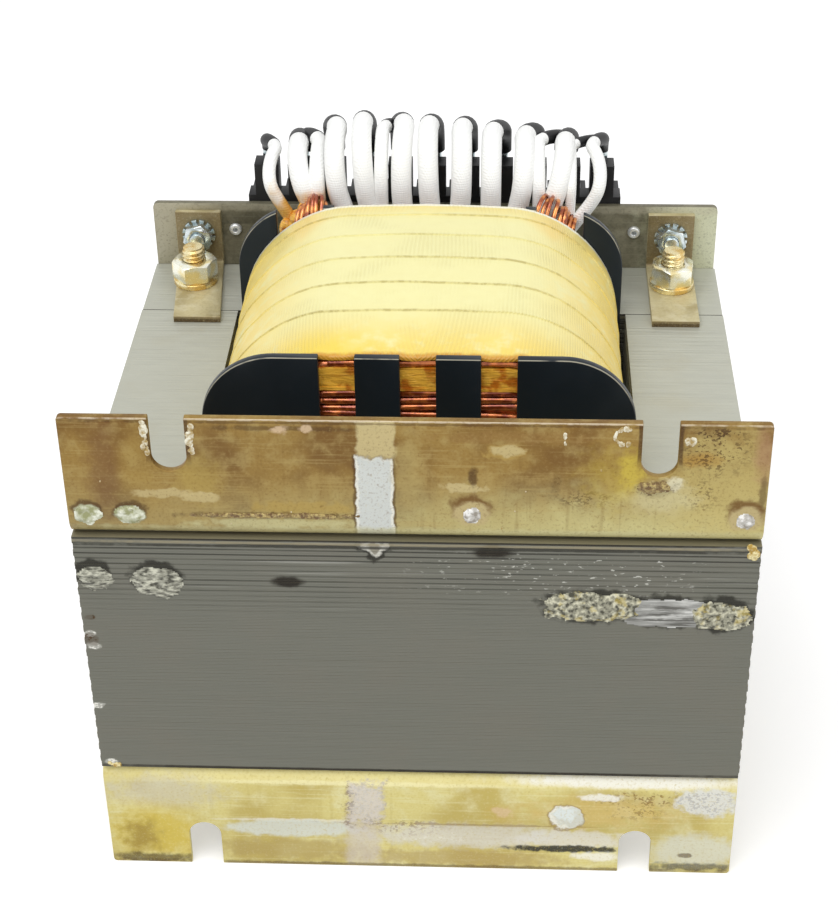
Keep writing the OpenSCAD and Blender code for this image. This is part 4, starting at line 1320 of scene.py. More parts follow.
@dataclass
class WallBrackets(Assembly):
    """The two slotted angle brackets on the front, their varnish and their weld spots.

    Attributes:
        slot_x: the distance of a slot from the middle.
        slot_w: a slot's width.
        slot_depth: a slot's depth.
        edge: how far the edges are rounded.
    """

    slot_x: float = 56.0
    slot_w: float = 8.3
    slot_depth: float = 14.5
    edge: float = 0.3

    def build(self) -> None:
        """Makes both brackets and what lies on them."""
        low, high = limits("upper_bracket")
        base, foot = (corner.z for corner in limits("e_laminations"))
        upper = VarnishedSteel(
            "upper_varnish", self.upper_marks(foot), dark=(0.185, 0.095, 0.019), middle=(0.3, 0.185, 0.044),
            light=(0.45, 0.34, 0.125), low=(0.57, 0.52, 0.235), fall=(foot + 22.0, foot + 2.0), lean=0.75,
            blot=15.0)
        lower = VarnishedSteel(
            "lower_varnish", self.lower_marks(base), dark=(0.55, 0.44, 0.125), middle=(0.71, 0.625, 0.245),
            light=(0.8, 0.77, 0.47), blot=20.0, metal=0.2)
        rounded("upper_angle", "upper_bracket", self.edge, upper, Slot.BRACKET)
        rounded("lower_angle", "lower_bracket", self.edge, lower, Slot.BRACKET)
        self.spatter(low.y, foot, high.z)

    def upper_marks(self, foot: float) -> tuple[Mark, ...]:
        """Lists the stains and bare places on the upper flange, and the highlights painted along its top edge
        and beside the right slot.

        Args:
            foot: the height of the bracket's foot.

        Returns:
            The marks.
        """
        bare, white, brown = (0.6, 0.625, 0.595), (0.85, 0.85, 0.77), (0.055, 0.02, 0.004)
        pale, olive, gold = (0.55, 0.45, 0.22), (0.56, 0.53, 0.28), (0.5, 0.38, 0.055)
        green, burnt = (0.6, 0.64, 0.44), (0.13, 0.05, 0.006)
        walls = [side * self.slot_x + edge * (self.slot_w / 2 + 0.4) for side in (-1, 1) for edge in (-1, 1)]
        rims = [Mark(x, 28.5, 0.5, 5.5, brown, 0.8, 0.5, 0.6, True) for x in walls]
        pads = [Mark(x, 6.8 + grow, wide + grow, 2.4 + grow, colour, share, 0.16, 0.6)
                for grow, colour, share in ((0.7, brown, 0.75), (0.0, green, 0.9))
                for x, wide in ((-76.4, 3.0), (-66.3, 3.5))]
        welds = [Mark(x, z + up, wide, high, colour, 0.85, 0.22, 0.6)
                 for x, z in ((13.4, 8.0), (76.5, 7.4))
                 for wide, high, up, colour in ((4.6, 4.0, 1.9, burnt), (4.1, 3.3, 0.5, pale))]
        table = (
            Mark(72.0, 16.0, 14.0, 15.0, (0.53, 0.43, 0.155), 0.75, 0.6, 0.8),
            Mark(-71.4, 20.5, 3.4, 13.0, (0.17, 0.08, 0.03), 0.6, 0.6, 0.9),
            Mark(-62.5, 20.0, 4.0, 11.0, (0.37, 0.25, 0.065), 0.5, 0.6, 0.8),
            Mark(-49.5, 17.4, 5.0, 6.4, (0.41, 0.295, 0.075), 0.65, 0.5, 0.8),
            Mark(-57.0, 12.9, 8.0, 1.2, pale, 0.7, 0.3, 1.2),
            Mark(-49.5, 11.9, 4.6, 1.5, pale, 0.75, 0.2, 0.7),
            Mark(-28.0, 31.2, 17.0, 0.7, brown, 0.55, 0.4, 1.4),
            # painted highlights on the top rim
            Mark(-30.3, 30.8, 2.4, 1.1, (0.68, 0.5, 0.32), 0.8, 0.4, 2.0),
            Mark(-24.3, 31.0, 1.7, 0.9, (0.68, 0.5, 0.32), 0.8, 0.4, 2.0),
            Mark(-25.0, 9.2, 12.0, 1.8, (0.44, 0.3, 0.07), 0.6, 0.4, 1.4),
            Mark(-32.3, 7.0, 20.0, 0.9, brown, 0.7, 0.4, 1.8, grain=0.4),
            Mark(-31.0, 4.8, 19.0, 1.2, olive, 0.7, 0.4, 1.2),
            Mark(-8.3, 28.5, 4.4, 6.5, (0.6, 0.5, 0.25), 0.85, 0.1, 0.35, True),
            Mark(-8.9, 11.4, 4.9, 12.6, brown, 0.7, 0.05, 0.2, True),
            Mark(-8.9, 11.3, 4.3, 12.3, white, 0.9, 0.05, 0.24, True),
            Mark(-8.9, 11.3, 3.7, 12.0, bare, 0.97, 0.07, 0.3, True),
            Mark(-1.2, 20.3, 3.0, 9.0, (0.44, 0.345, 0.13), 0.55, 0.5),
            Mark(20.8, 25.6, 4.6, 2.2, (0.42, 0.28, 0.07), 0.7, 0.2, 0.9),
            Mark(21.2, 25.9, 3.7, 1.6, pale, 0.8, 0.3, 1.2),
            Mark(11.8, 15.4, 5.2, 1.2, pale, 0.8, 0.3, 1.6),
            Mark(13.6, 18.4, 1.1, 2.2, brown, 0.75, 0.4, 1.2),
            Mark(24.0, 29.5, 16.0, 1.6, (0.28, 0.16, 0.045), 0.5, 0.5, 1.4),
            Mark(33.0, 17.0, 1.0, 3.0, brown, 0.45, 0.4, 1.4, grain=0.6),
            Mark(39.0, 13.0, 6.0, 2.2, brown, 0.55, 0.6, 1.0, grain=1.0),
            Mark(46.0, 18.5, 6.6, 7.0, gold, 0.35, 0.7, 1.4),
            Mark(49.6, 20.0, 2.6, 5.6, (0.58, 0.45, 0.06), 0.7, 0.6, 1.2),
            Mark(57.0, 13.6, 7.0, 4.0, (0.58, 0.53, 0.3), 0.65, 0.5, 1.0),
            # painted highlight right of the crumbs under the right slot
            Mark(59.4, 17.2, 1.9, 2.2, (0.72, 0.68, 0.48), 0.8, 0.3, 1.4),
            Mark(55.6, 16.0, 4.6, 2.0, brown, 0.8, 0.4, 1.2, grain=0.7),
            Mark(65.0, 24.0, 4.4, 1.7, (0.4, 0.215, 0.03), 0.65, 0.5),
            Mark(68.7, 26.6, 7.2, 5.6, brown, 0.75, 0.6, 0.6, grain=1.0),
            Mark(68.4, 31.4, 5.4, 1.2, brown, 0.75, 0.4, 0.8, grain=0.8),
            Mark(66.0, 15.0, 4.0, 4.0, brown, 0.5, 0.6, 0.6, grain=1.0),
            Mark(79.4, 26.0, 2.0, 7.0, (0.36, 0.18, 0.11), 0.55, 0.6),
            Mark(79.9, 14.0, 0.8, 5.0, brown, 0.55, 0.5, 1.4),
            *rims, *pads, *welds,
            Mark(0.0, 2.2, 82.0, 1.5, olive, 0.6, 0.5, 1.0, True),
            Mark(0.0, 0.3, 82.0, 0.45, brown, 0.8, 0.4, 0.4, True),
            Mark(0.0, 32.7, 82.0, 0.3, brown, 0.5, 0.5, 2.0, True),
            # painted highlight along the top edge
            Mark(0.0, 33.5, 82.0, 0.3, (0.76, 0.66, 0.5), 0.65, 0.5, 1.4, True),
        )
        return tuple(mark.over(foot) for mark in table)

    def lower_marks(self, base: float) -> tuple[Mark, ...]:
        """Lists the stains and bare places on the lower flange, and the highlight painted along its bend.

        Args:
            base: the height of the core's underside.

        Returns:
            The marks.
        """
        grey, brown, gold = (0.7, 0.735, 0.68), (0.09, 0.045, 0.012), (0.62, 0.47, 0.06)
        silver, lilac, white = (0.74, 0.745, 0.71), (0.64, 0.58, 0.55), (0.93, 0.92, 0.85)
        smear, rust = (0.69, 0.67, 0.61), (0.24, 0.13, 0.025)
        table = (
            # painted highlight along the bend, white towards the right
            Mark(0.0, -2.6, 82.0, 2.2, (0.82, 0.73, 0.33), 0.8, 0.5, 0.3, True),
            Mark(55.0, -2.4, 29.0, 1.9, white, 0.85, 0.4, 0.6),
            Mark(-20.0, -4.4, 40.0, 0.7, (0.93, 0.87, 0.5), 0.7, 0.5, 0.8),
            Mark(-66.0, -8.5, 14.0, 5.0, (0.61, 0.57, 0.47), 0.6, 0.6, 1.0),
            Mark(-69.0, -23.5, 11.0, 9.0, gold, 0.85, 0.6, 1.0),
            Mark(-72.7, -24.5, 4.0, 5.5, (0.28, 0.18, 0.03), 0.65, 0.7, 1.4),
            Mark(-34.0, -28.0, 22.0, 3.6, (0.45, 0.335, 0.11), 0.65, 0.4, 1.0),
            Mark(10.0, -30.0, 26.0, 2.6, (0.45, 0.33, 0.12), 0.65, 0.4, 1.0),
            Mark(-33.0, -17.6, 17.5, 0.6, white, 0.55, 0.4, 0.8),
            Mark(-33.0, -20.4, 17.5, 3.0, grey, 0.85, 0.2, 0.45),
            Mark(12.0, -21.8, 25.0, 4.0, smear, 0.75, 0.35, 0.8),
            Mark(40.0, -22.5, 14.0, 3.0, (0.72, 0.7, 0.64), 0.75, 0.3, 0.8),
            Mark(16.0, -18.0, 26.0, 0.35, rust, 0.55, 0.5, 1.8),
            Mark(-14.6, -25.0, 4.3, 8.0, (0.66, 0.6, 0.54), 0.65, 0.3, 0.5, True),
            Mark(-13.7, -11.4, 4.9, 7.0, rust, 0.8, 0.2, 0.8, True, 0.8),
            Mark(-13.7, -11.4, 4.2, 6.4, lilac, 0.8, 0.25, 0.9, True),
            Mark(-13.7, -11.4, 4.4, 6.4, brown, 0.4, 0.2, 0.8, True, 1.0),
            Mark(-12.9, -10.6, 4.0, 6.4, white, 0.45, 0.3, 0.8, True, 0.6),
            Mark(-1.7, -19.8, 8.5, 2.6, rust, 0.75, 0.5, 0.8, grain=1.0),
            Mark(1.5, -21.4, 9.0, 3.0, white, 0.4, 0.5, 0.8, grain=0.8),
            Mark(48.0, -12.6, 19.0, 4.8, (0.68, 0.49, 0.16), 0.6, 0.6, 1.2),
            Mark(57.0, -7.8, 12.0, 2.2, rust, 0.8, 0.5, 1.0, grain=0.8),
            Mark(56.0, -12.6, 6.0, 2.4, rust, 0.6, 0.6, 1.0, grain=1.0),
            Mark(47.0, -7.6, 5.0, 1.2, white, 0.8, 0.3, 1.2),
            Mark(22.2, -13.6, 4.6, 3.6, (0.58, 0.42, 0.1), 0.6, 0.5),
            Mark(22.2, -13.0, 2.6, 1.5, (0.74, 0.54, 0.36), 0.6, 0.4, 1.8),
            Mark(37.9, -14.5, 4.9, 4.7, rust, 0.75, 0.08, 0.5),
            Mark(37.9, -14.5, 4.4, 4.2, (0.9, 0.9, 0.82), 0.95, 0.1, 0.5),
            Mark(38.4, -14.6, 3.9, 3.6, (0.55, 0.57, 0.5), 0.6, 0.2, 1.2),
            Mark(37.6, -13.8, 2.6, 2.4, (0.78, 0.84, 0.83), 0.9, 0.3, 1.4),
            Mark(73.7, -8.6, 7.6, 4.8, silver, 0.9, 0.18, 0.7),
            Mark(73.7, -8.6, 7.0, 4.4, (0.42, 0.41, 0.4), 0.6, 0.3, 0.6, grain=1.0),
            Mark(71.5, -25.8, 11.5, 5.6, (0.71, 0.715, 0.62), 0.75, 0.3, 0.6),
            Mark(70.5, -31.4, 10.0, 1.3, (0.06, 0.055, 0.035), 0.75, 0.4, 1.4),
            Mark(69.0, -27.4, 2.0, 0.8, brown, 0.7),
            Mark(38.0, -25.9, 13.2, 1.15, (0.026, 0.027, 0.02), 0.97, 0.3, 1.3),
            Mark(46.0, -28.4, 6.0, 1.4, white, 0.75, 0.4),
            Mark(-70.4, -32.0, 12.0, 1.7, (0.07, 0.05, 0.02), 0.75, 0.4),
            Mark(0.0, -33.2, 82.0, 0.7, brown, 0.65, 0.5, 1.2, True),
        )
        return tuple(mark.over(base) for mark in table)

    def spatter(self, face_y: float, foot: float, top: float) -> None:
        """Adds the beads along the upper slots, the crusty row, the drips and the weld spots.

        Args:
            face_y: where the flange's front lies.
            foot: the height of the bracket's foot.
            top: the height of its upper edge.
        """
        rng = random.Random(5)
        left, right, half = -self.slot_x, self.slot_x, self.slot_w / 2

        def strewn(count: int, x: Sequence[float], z: Sequence[float], radius: Sequence[float]) -> list[Bead]:
            """Beads at random in a box."""
            return [(rng.uniform(*x), rng.uniform(*z), rng.uniform(*radius)) for _ in range(count)]

        ring = [(47.8 + 2.1 * math.cos(a) + rng.uniform(-0.2, 0.2), foot + 30.1 + 2.1 * math.sin(a),
                 rng.uniform(0.25, 0.55))
                for a in (math.radians(60.0 + 15.0 * i) for i in range(17))]
        beads = ring + [
            *strewn(22, (left - half - 1.5, left - half - 0.5), (top - 9.5, top - 0.6), (0.3, 0.75)),
            *strewn(22, (left + half + 0.5, left + half + 1.6), (top - 9.5, top - 1.0), (0.3, 0.7)),
            *strewn(7, (right + half + 0.5, right + half + 4.0), (top - 5.5, top - 4.4), (0.4, 0.8)),
            *strewn(9, (-78.0, 78.0), (foot + 3.0, foot + 31.0), (0.12, 0.24)),
            *strewn(10, (34.1, 34.6), (top - 5.8, top - 1.2), (0.25, 0.4)),
        ]
        beads = [b for b in beads
                 if abs(abs(b[0]) - self.slot_x) > half + 0.4 * b[2] or b[1] < top - self.slot_depth - 0.4]
        # the beads' brown hollows and near-white humps are partly the varnish's own colour and partly painted
        # shade and highlights
        varnish = Crust("dried_varnish", (0.42, 0.29, 0.09), (0.9, 0.87, 0.7), 0.0, 0.16, 1.0)
        fitted("varnish_beads", drops(beads, face_y, varnish, 0.4, 1.4), varnish, Slot.BRACKET)
        base = limits("e_laminations")[0].z
        drips = strewn(8, (77.6, 79.6), (foot - 3.4, foot - 0.2), (0.7, 1.2))
        drips += strewn(7, (-79.4, -75.4), (base + 0.3, base + 1.2), (0.4, 0.8))
        honey = Crust("honey_varnish", (0.46, 0.28, 0.03), (0.93, 0.84, 0.46), 0.0, 0.14, 0.9)
        fitted("corner_drips", drops(drips, face_y, honey, 0.5), honey, Slot.BRACKET)
        # the pads' pale humps are partly the varnish's own colour and partly painted highlights
        glaze = Crust("varnish_pads", (0.3, 0.31, 0.14), (0.84, 0.86, 0.72), 0.1, 0.14, 1.9)
        weld = Crust("weld_spot", (0.3, 0.27, 0.22), (0.9, 0.89, 0.86), 0.2, 0.3, 1.4)
        jag = Crust("varnish_jags", (0.14, 0.07, 0.014), (0.5, 0.38, 0.13), 0.1, 0.25, 0.8)
        pads = (Clot(-76.4, foot + 6.6, 3.3, 2.6, 0.9, 9.0, 1.0),
                Clot(-66.3, foot + 6.8, 3.6, 2.4, 0.9, 10.0, 1.0))
        spots = (Clot(13.5, foot + 7.7, 2.0, 2.3, 0.8, 7.0, 0.4),
                 Clot(76.6, foot + 7.2, 2.1, 2.2, 0.8, 8.0, 0.4))
        jags = (Clot(-34.2, foot + 7.0, 18.0, 0.75, 0.5, 11.0, 1.9),
                Clot(55.4, foot + 16.5, 3.5, 1.7, 0.6, 12.0, 1.7))
        crusted("glazed_pads", pads, face_y, glaze, Slot.BRACKET)
        crusted("weld_spots", spots, face_y, weld, Slot.BRACKET)
        crusted("varnish_jags", jags, face_y, jag, Slot.BRACKET)


@dataclass
class RearPlate(Assembly):
    """The terminal plate, its two clips and the screws that hold them.

    Attributes:
        edge: how far the edges are rounded.
    """

    edge: float = 0.3

    def build(self) -> None:
        """Makes the plate, the clips and their fasteners."""
        low, high = limits("terminal_plate")
        middle, pale, olive = (low.z + high.z) / 2, (0.47, 0.44, 0.33), (0.66, 0.68, 0.49)
        ends = (Mark(low.x, middle, 16.0, 60.0, pale, 0.85, 0.5, 0.6, True),
                Mark(high.x, middle, 17.0, 60.0, olive, 0.85, 0.5, 0.6, True),
                # painted highlight along the top edge
                Mark(0.0, high.z - 1.0, 90.0, 1.2, pale, 0.5, 0.6, 0.8, True),
                Mark(0.0, middle - 10.0, 90.0, 3.0, (0.06, 0.055, 0.035), 0.4, 0.9, 0.6, True))
        plate = VarnishedSteel("plate_varnish", ends, (0.105, 0.098, 0.063), (0.185, 0.17, 0.115),
                               (0.33, 0.315, 0.225), blot=24.0)
        rounded("back_plate", "terminal_plate", self.edge, plate, Slot.PLATE)
        foot = limits("left_clip")[0].z
        # faces that look along -Y are made darker and browner, with a darker line near the foot
        brown = (Mark(0.0, middle, 200.0, 90.0, (0.17, 0.12, 0.052), 0.8, boxed=True),
                 Mark(0.0, foot + 0.5, 200.0, 0.6, (0.07, 0.04, 0.015), 0.8, 0.4, 0.6, True))
        clip = VarnishedSteel("clip_varnish", brown, (0.42, 0.35, 0.18), (0.6, 0.53, 0.31),
                              (0.7, 0.65, 0.46), blot=11.0)
        for side in ("left", "right"):
            rounded(side + "_angle_clip", side + "_clip", self.edge, clip, Slot.CLIP)
        for node, edge in (("clip_screws", 0.25), ("clip_star_washers", 0.08), ("clip_nuts", 0.25)):
            rounded(node + "_plated", node, edge, BRIGHT_ZINC, Slot.BRIGHT_ZINC)


@dataclass
class CoreBolts(Assembly):
    """The four bolts through the core, with nuts, lock washers and threaded ends.

    Attributes:
        thread_pitch: the thread's pitch.
        thread_deep: the thread's depth.
        thread_r: its outer radius.
        thread_length: how much of it stands above a nut.
        sides: the number of sides of a threaded end.
        rows: the number of rows of faces along it.
        core_share: the radius inside the thread, as a share of the bolt's.
        clear: how far over a nut the bolt turns thinner.
        sunk: how far its tip lies under the end of the thread.
    """

    thread_pitch: float = 1.27
    thread_deep: float = 0.62
    thread_r: float = 3.175
    thread_length: float = 5.4
    sides: int = 40
    rows: int = 44
    core_share: float = 0.7
    clear: float = 0.3
    sunk: float = 0.8

    def threads(self, tips: Sequence[Vector], finish: Finish) -> Mesh:
        """Cuts a thread on each bolt's end.

        Args:
            tips: the bolts' upper ends.
            finish: its finish.

        Returns:
            The threaded ends, in metres.
        """
        points = bpy.data.meshes.new("tips")
        points.from_pydata(tips, [], [])
        shaper = Shaper("threads")
        sides, pitch = shaper.size("Sides", self.sides), shaper.size("Pitch", self.thread_pitch)
        deep, tall = shaper.size("Depth", self.thread_deep), shaper.size("Length", self.thread_length)
        rod = shaper.node("GeometryNodeMeshCylinder", sockets={
            "Vertices": sides, "Side Segments": self.rows, "Radius": shaper.size("Radius", self.thread_r),
            "Depth": tall})
        x, y, z = shaper.parts(shaper.node("GeometryNodeInputPosition"))
        phase = shaper.math("FRACT", z / pitch - shaper.math("ARCTAN2", y, x) / math.tau + 8.0)
        ridge = shaper.ramp(abs(phase - 0.5) * 2.0, 0.85, 0.15)
        tip = shaper.ramp(z, self.thread_length / 2 - 0.5, self.thread_length / 2)
        keep = 1.0 - (1.0 - ridge * (1.0 - tip)) * deep / self.thread_r
        cut = shaper.node("GeometryNodeSetPosition",
                          sockets={0: rod, "Position": shaper.joined(x * keep, y * keep, z)})
        turn = shaper.scatter((0.0, 0.0, 0.0), (0.0, 0.0, math.tau), shaper.node("GeometryNodeInputIndex"),
                              shaper.size("Seed", 2))
        copies = shaper.node("GeometryNodeInstanceOnPoints",
                             sockets={"Points": shaper.source, "Instance": cut, "Rotation": turn})
        down = shaper.node("GeometryNodeTransform",
                           sockets={0: copies, "Translation": (0.0, 0.0, -self.thread_length / 2)})
        return shaper.made(down, finish, points)

    def shanks(self) -> Mesh:
        """Makes the bolts, thinner above their nuts so that the threads stand round them.

        Returns:
            The bolts, in metres.
        """
        mesh = softened("core_bolts", 0.2)
        for (low, high), (_, nut) in zip(loose_boxes("core_bolts"), loose_boxes("core_nuts")):
            axis = (low + high) / 2 * MM
            for vert in mesh.vertices:
                off = Vector((vert.co.x - axis.x, vert.co.y - axis.y))
                if vert.co.z > (nut.z + self.clear) * MM and off.length < 2 * self.thread_r * MM:
                    off *= self.core_share
                    vert.co = (axis.x + off.x, axis.y + off.y, vert.co.z - self.sunk * MM)
        return mesh

    def build(self) -> None:
        """Makes the bolts, washers, nuts and threads."""
        yellow = Plating("yellow_zinc", (0.88, 0.88, 0.76), (0.84, 0.72, 0.38), 0.24, 0.75)
        gold = Plating("golden_zinc", (0.86, 0.76, 0.46), (0.72, 0.5, 0.17), 0.26, 0.75)
        fitted("bolt_shanks", self.shanks(), gold, Slot.YELLOW_ZINC, "core_bolts")
        tips = [Vector(((a.x + b.x) / 2, (a.y + b.y) / 2, b.z)) for a, b in loose_boxes("core_bolts")]
        fitted("bolt_threads", self.threads(tips, gold), gold, Slot.YELLOW_ZINC)
        rounded("hex_nuts", "core_nuts", 0.3, yellow, Slot.YELLOW_ZINC)
        rounded("lock_washers", "core_lock_washers", 0.2, gold, Slot.YELLOW_ZINC)


@dataclass
class WoundCoil(Assembly):
    """The former, the windings that its slots show, and the tape round them.

    Attributes:
        half_x: half the former's tube across.
        half_z: half the former's tube upright.
        corner: the tube's corner radius.
        coil_r: the corner radius of the finished coil.
        build_out: how far the finished coil stands out from the tube at its sides.
        bulge: how much thicker the winding is above and below than at the sides.
        crown: how far the tape rises along its top.
        crown_at: where it is highest, as a share of its length.
        arch: the share of the crown that is lost at the shoulders.
        shoulder: how far the shoulders are from the middle.
        turns: the turns of tape from front to back.
        first: where the first seam is, as a share of the length.
        lap: how far one turn lies over the next.
        step: how high the edge of a turn stands.
        primary_layers: the layers of the primary.
        primary_build: how far they stand out from the tube.
        wire_r: the radius of the primary's wire.
        secondary: the inner and outer build of the secondary.
        film_inner: the inner build of the film at both ends.
        slot_pitch: the distance between the former's front slots.
        slot_half: half the width of one.
        end_turns: the turns of each layer that are made at each end.
        front: where the winding's front end lies, from the CAD.
        back: where its back end lies, from the CAD.
        middle_z: the height of the coil's middle, from the CAD.
    """

    half_x: float = 29.4
    half_z: float = 38.7
    corner: float = 3.0
    coil_r: float = 30.0
    build_out: float = 21.8
    bulge: float = 1.406
    crown: float = 3.6
    crown_at: float = 0.62
    arch: float = 0.85
    shoulder: float = 42.0
    turns: int = 6
    first: float = 0.236
    lap: float = 2.4
    step: float = 0.19
    primary_layers: int = 10
    primary_build: float = 14.4
    wire_r: float = 0.94
    secondary: tuple[float, float] = (19.0, 20.5)
    film_inner: float = 14.7
    slot_pitch: float = 19.4
    slot_half: float = 4.3
    end_turns: int = 3
    front: float = field(init=False)
    back: float = field(init=False)
    middle_z: float = field(init=False)

    def __post_init__(self) -> None:
        """Takes the coil's place from the CAD."""
        low, high = limits("outer_tape")
        self.front, self.back = low.y, high.y
        self.middle_z = sum(corner.z for corner in limits("e_laminations")) / 2

    def ring(self, build: float, y: float, steps: int = 8, splits: int = 1) -> list[Vector]:
        """A rounded rectangle about the former.

        Args:
            build: how far it is from the tube.
            y: where it lies.
            steps: the parts of each corner.
            splits: the parts of each straight side.

        Returns:
            Its points.
        """
        half_x, half_z = self.half_x + build, self.half_z + self.bulge * build
        radius = self.corner + (self.coil_r - self.corner) * build / self.build_out
        points: list[Vector] = []
        for quarter, (sx, sz) in enumerate(((1, 1), (-1, 1), (-1, -1), (1, -1))):
            middle = Vector((sx * (half_x - radius), y, self.middle_z + sz * (half_z - radius)))
            arc = [middle + radius * Vector((math.cos(a), 0.0, math.sin(a)))
                   for a in (math.pi / 2 * (quarter + i / steps) for i in range(steps + 1))]
            if points:
                points.extend(points[-1].lerp(arc[0], i / splits) for i in range(1, splits))
            points.extend(arc)
        points.extend(points[-1].lerp(points[0], i / splits) for i in range(1, splits))
        return points

    def lift(self, point: Vector) -> float:
        """Raises the tape, most in the middle of its top and little at its shoulders.

        Args:
            point: a point of the tape.

        Returns:
            How far it is raised there.
        """
        share = (point.y - self.front) / (self.back - self.front)
        high = min(max((point.z - self.middle_z) / self.half_z, 0.0), 1.0)
        arch = 1.0 - self.arch * min(1.0, (point.x / self.shoulder) ** 2)
        return self.crown * (1.0 - ((share - self.crown_at) / self.crown_at) ** 2) * arch * high

    def wires(self, name: str, builds: Sequence[float], radius: float, finish: Finish,
              seed: int) -> Mesh:
        """The end turns of some layers, at both ends of the coil.

        Args:
            name: the tree's name.
            builds: each layer's distance from the tube.
            radius: the wire's radius.
            finish: their finish.
            seed: the seed of their small shifts.

        Returns:
            The wires, in metres.
        """
        rng = random.Random(seed)
        paths = []
        for build in builds:
            for turn in range(self.end_turns):
                inset = radius * (1.05 + 2.02 * turn)
                ends = (self.front + inset + rng.uniform(0.0, 0.5), self.back - inset - rng.uniform(0.0, 0.5))
                for y in ends:
                    path = self.ring(build + rng.uniform(-0.08, 0.08), y, 5, 12)
                    slope, phase = rng.uniform(-0.02, 0.02), rng.uniform(0.0, math.tau)
                    for point in path:
                        point.z += slope * point.x + 0.14 * math.sin(0.35 * point.x + phase)
                        point.y += 0.1 * math.sin(0.5 * point.x + phase)
                    paths.append(path)
        return swept(name, paths, radius, finish, 8, True)

    def body(self, inner: float, outer: float, inset: float) -> Mesh:
        """The solid part of a winding behind its end turns."""
        front, back = self.front + inset, self.back - inset
        return lofted([self.ring(inner, front), self.ring(outer, front),
                       self.ring(outer, back), self.ring(inner, back)])

    def film(self, low: Vector, high: Vector) -> Mesh:
        """One margin of film, wrinkled where it shows.

        Args:
            low: the lowest corner of its solid.
            high: the highest corner of its solid.

        Returns:
            The mesh, in metres.
        """
        outer = (high.z - self.middle_z - self.half_z) / self.bulge
        depth = high.y - low.y
        section = [(0.04 * depth, self.film_inner + share * (outer - self.film_inner))
                   for share in (0.0, 0.2, 0.4, 0.6, 0.8, 1.0)]
        section += [(0.96 * depth, outer), (0.96 * depth, self.film_inner)]
        rings = []
        for inset, build in section:
            ring = self.ring(build, low.y + inset, 6, 60)
            for point in ring:
                wave = noise.noise(Vector((point.x * 0.35, build * 0.9, point.z * 0.3)))
                point.y = min(max(point.y + 0.5 * wave, low.y), high.y)
                point.z += 0.22 * noise.noise(Vector((point.x * 0.5, build, 7.0)))
            rings.append(ring)
        return lofted(rings)

    def droop(self, x: float) -> float:
        """Sinks the tape's front edge into the slots of the former.

        Args:
            x: a place along the edge.

        Returns:
            How far it sinks there, from 0 to 1.
        """
        if abs(x) >= 1.4 * self.slot_pitch:
            return 0.0
        off = (x + 2.5 * self.slot_pitch) % self.slot_pitch - self.slot_pitch / 2
        return max(0.0, math.cos(math.pi / 2 * min(1.0, abs(off) / self.slot_half)))

    def tape(self) -> Mesh:
        """Winds the tape's turns, each one's edge over the one before.

        Returns:
            The mesh, in metres.
        """
        length = self.back - self.front
        pitch, outer, step = length / self.turns, self.build_out - 0.2, self.step
        hem = ((0.05, 0.75), (0.0, 0.3), (0.25, 0.02))
        rows = [(self.front + far, outer - down) for far, down in hem]
        rows += [(self.front + far, outer) for far in (1.2, 2.4, 5.0, 9.0, 14.0)]
        turn = ((-0.06, -0.02), (0.06, step), (self.lap, step * 0.7), (pitch * 0.4, step * 0.25),
                (pitch * 0.6, 0.0), (pitch * 0.85, -0.01))
        rows += [(self.front + self.first * length + pitch * i + far, outer + up)
                 for i in range(self.turns - 1) for far, up in turn]
        rows = [row for row in rows if row[0] < self.back - 0.4]
        rows += [(self.back - far, outer - down) for far, down in reversed(hem)]
        rings = []
        for y, build in rows:
            ring = self.ring(build, y, 14, 30)
            for point in ring:
                point.z += self.lift(point)
                wave = noise.noise(Vector((point.x * 0.11, y * 0.16, point.z * 0.11))) * 0.18
                wave += noise.noise(Vector((point.x * 0.5, y * 0.3, point.z * 0.5))) * 0.06
                out = Vector((point.x, 0.0, point.z - self.middle_z)).normalized()
                near = math.exp(-((y - self.front) / 3.2) ** 2) if point.z > self.middle_z else 0.0
                uneven = 0.75 + 0.6 * noise.noise(Vector((point.x * 0.23, 3.0, 1.0)))
                point += out * (wave - 1.1 * near * self.droop(point.x) * uneven)
            rings.append(ring)
        return lofted(rings)

    def build(self) -> None:
        """Makes the former, the windings, the films and the tape."""
        copper, film = Enamel("copper_enamel"), Film("amber_film")
        black = Moulding("black_moulding", (0.0078, 0.013, 0.018), 0.26, 0.03, 0.6)
        rounded("bobbin", "coil_former", 0.35, black, Slot.FORMER)
        layer = self.primary_build / self.primary_layers
        builds = [layer * (i + 0.5) for i in range(self.primary_layers)]
        primary = joined([self.wires("primary_turns", builds, self.wire_r, copper, 7),
                          self.body(0.1, self.primary_build - 0.3, 1.6)])
        fitted("primary_wires", primary, copper, Slot.COPPER, "primary_winding")
        inner, outer = self.secondary
        secondary = joined([self.wires("secondary_turns", [(inner + outer) / 2], 0.95, copper, 8),
                            self.body(inner, outer, 2.0)])
        fitted("secondary_wires", secondary, copper, Slot.COPPER, "secondary_winding")
        margins = joined(self.film(*box) for box in loose_boxes("margin_tape"))
        fitted("margin_film", margins, film, Slot.FILM, "margin_tape")
        dressed("interwinding_wrap", film)
        length = self.back - self.front
        tape = WovenTape("woven_tape", self.middle_z, self.front, length, self.first * length,
                         length / self.turns)
        fitted("tape_turns", self.tape(), tape, Slot.TAPE, "outer_tape")


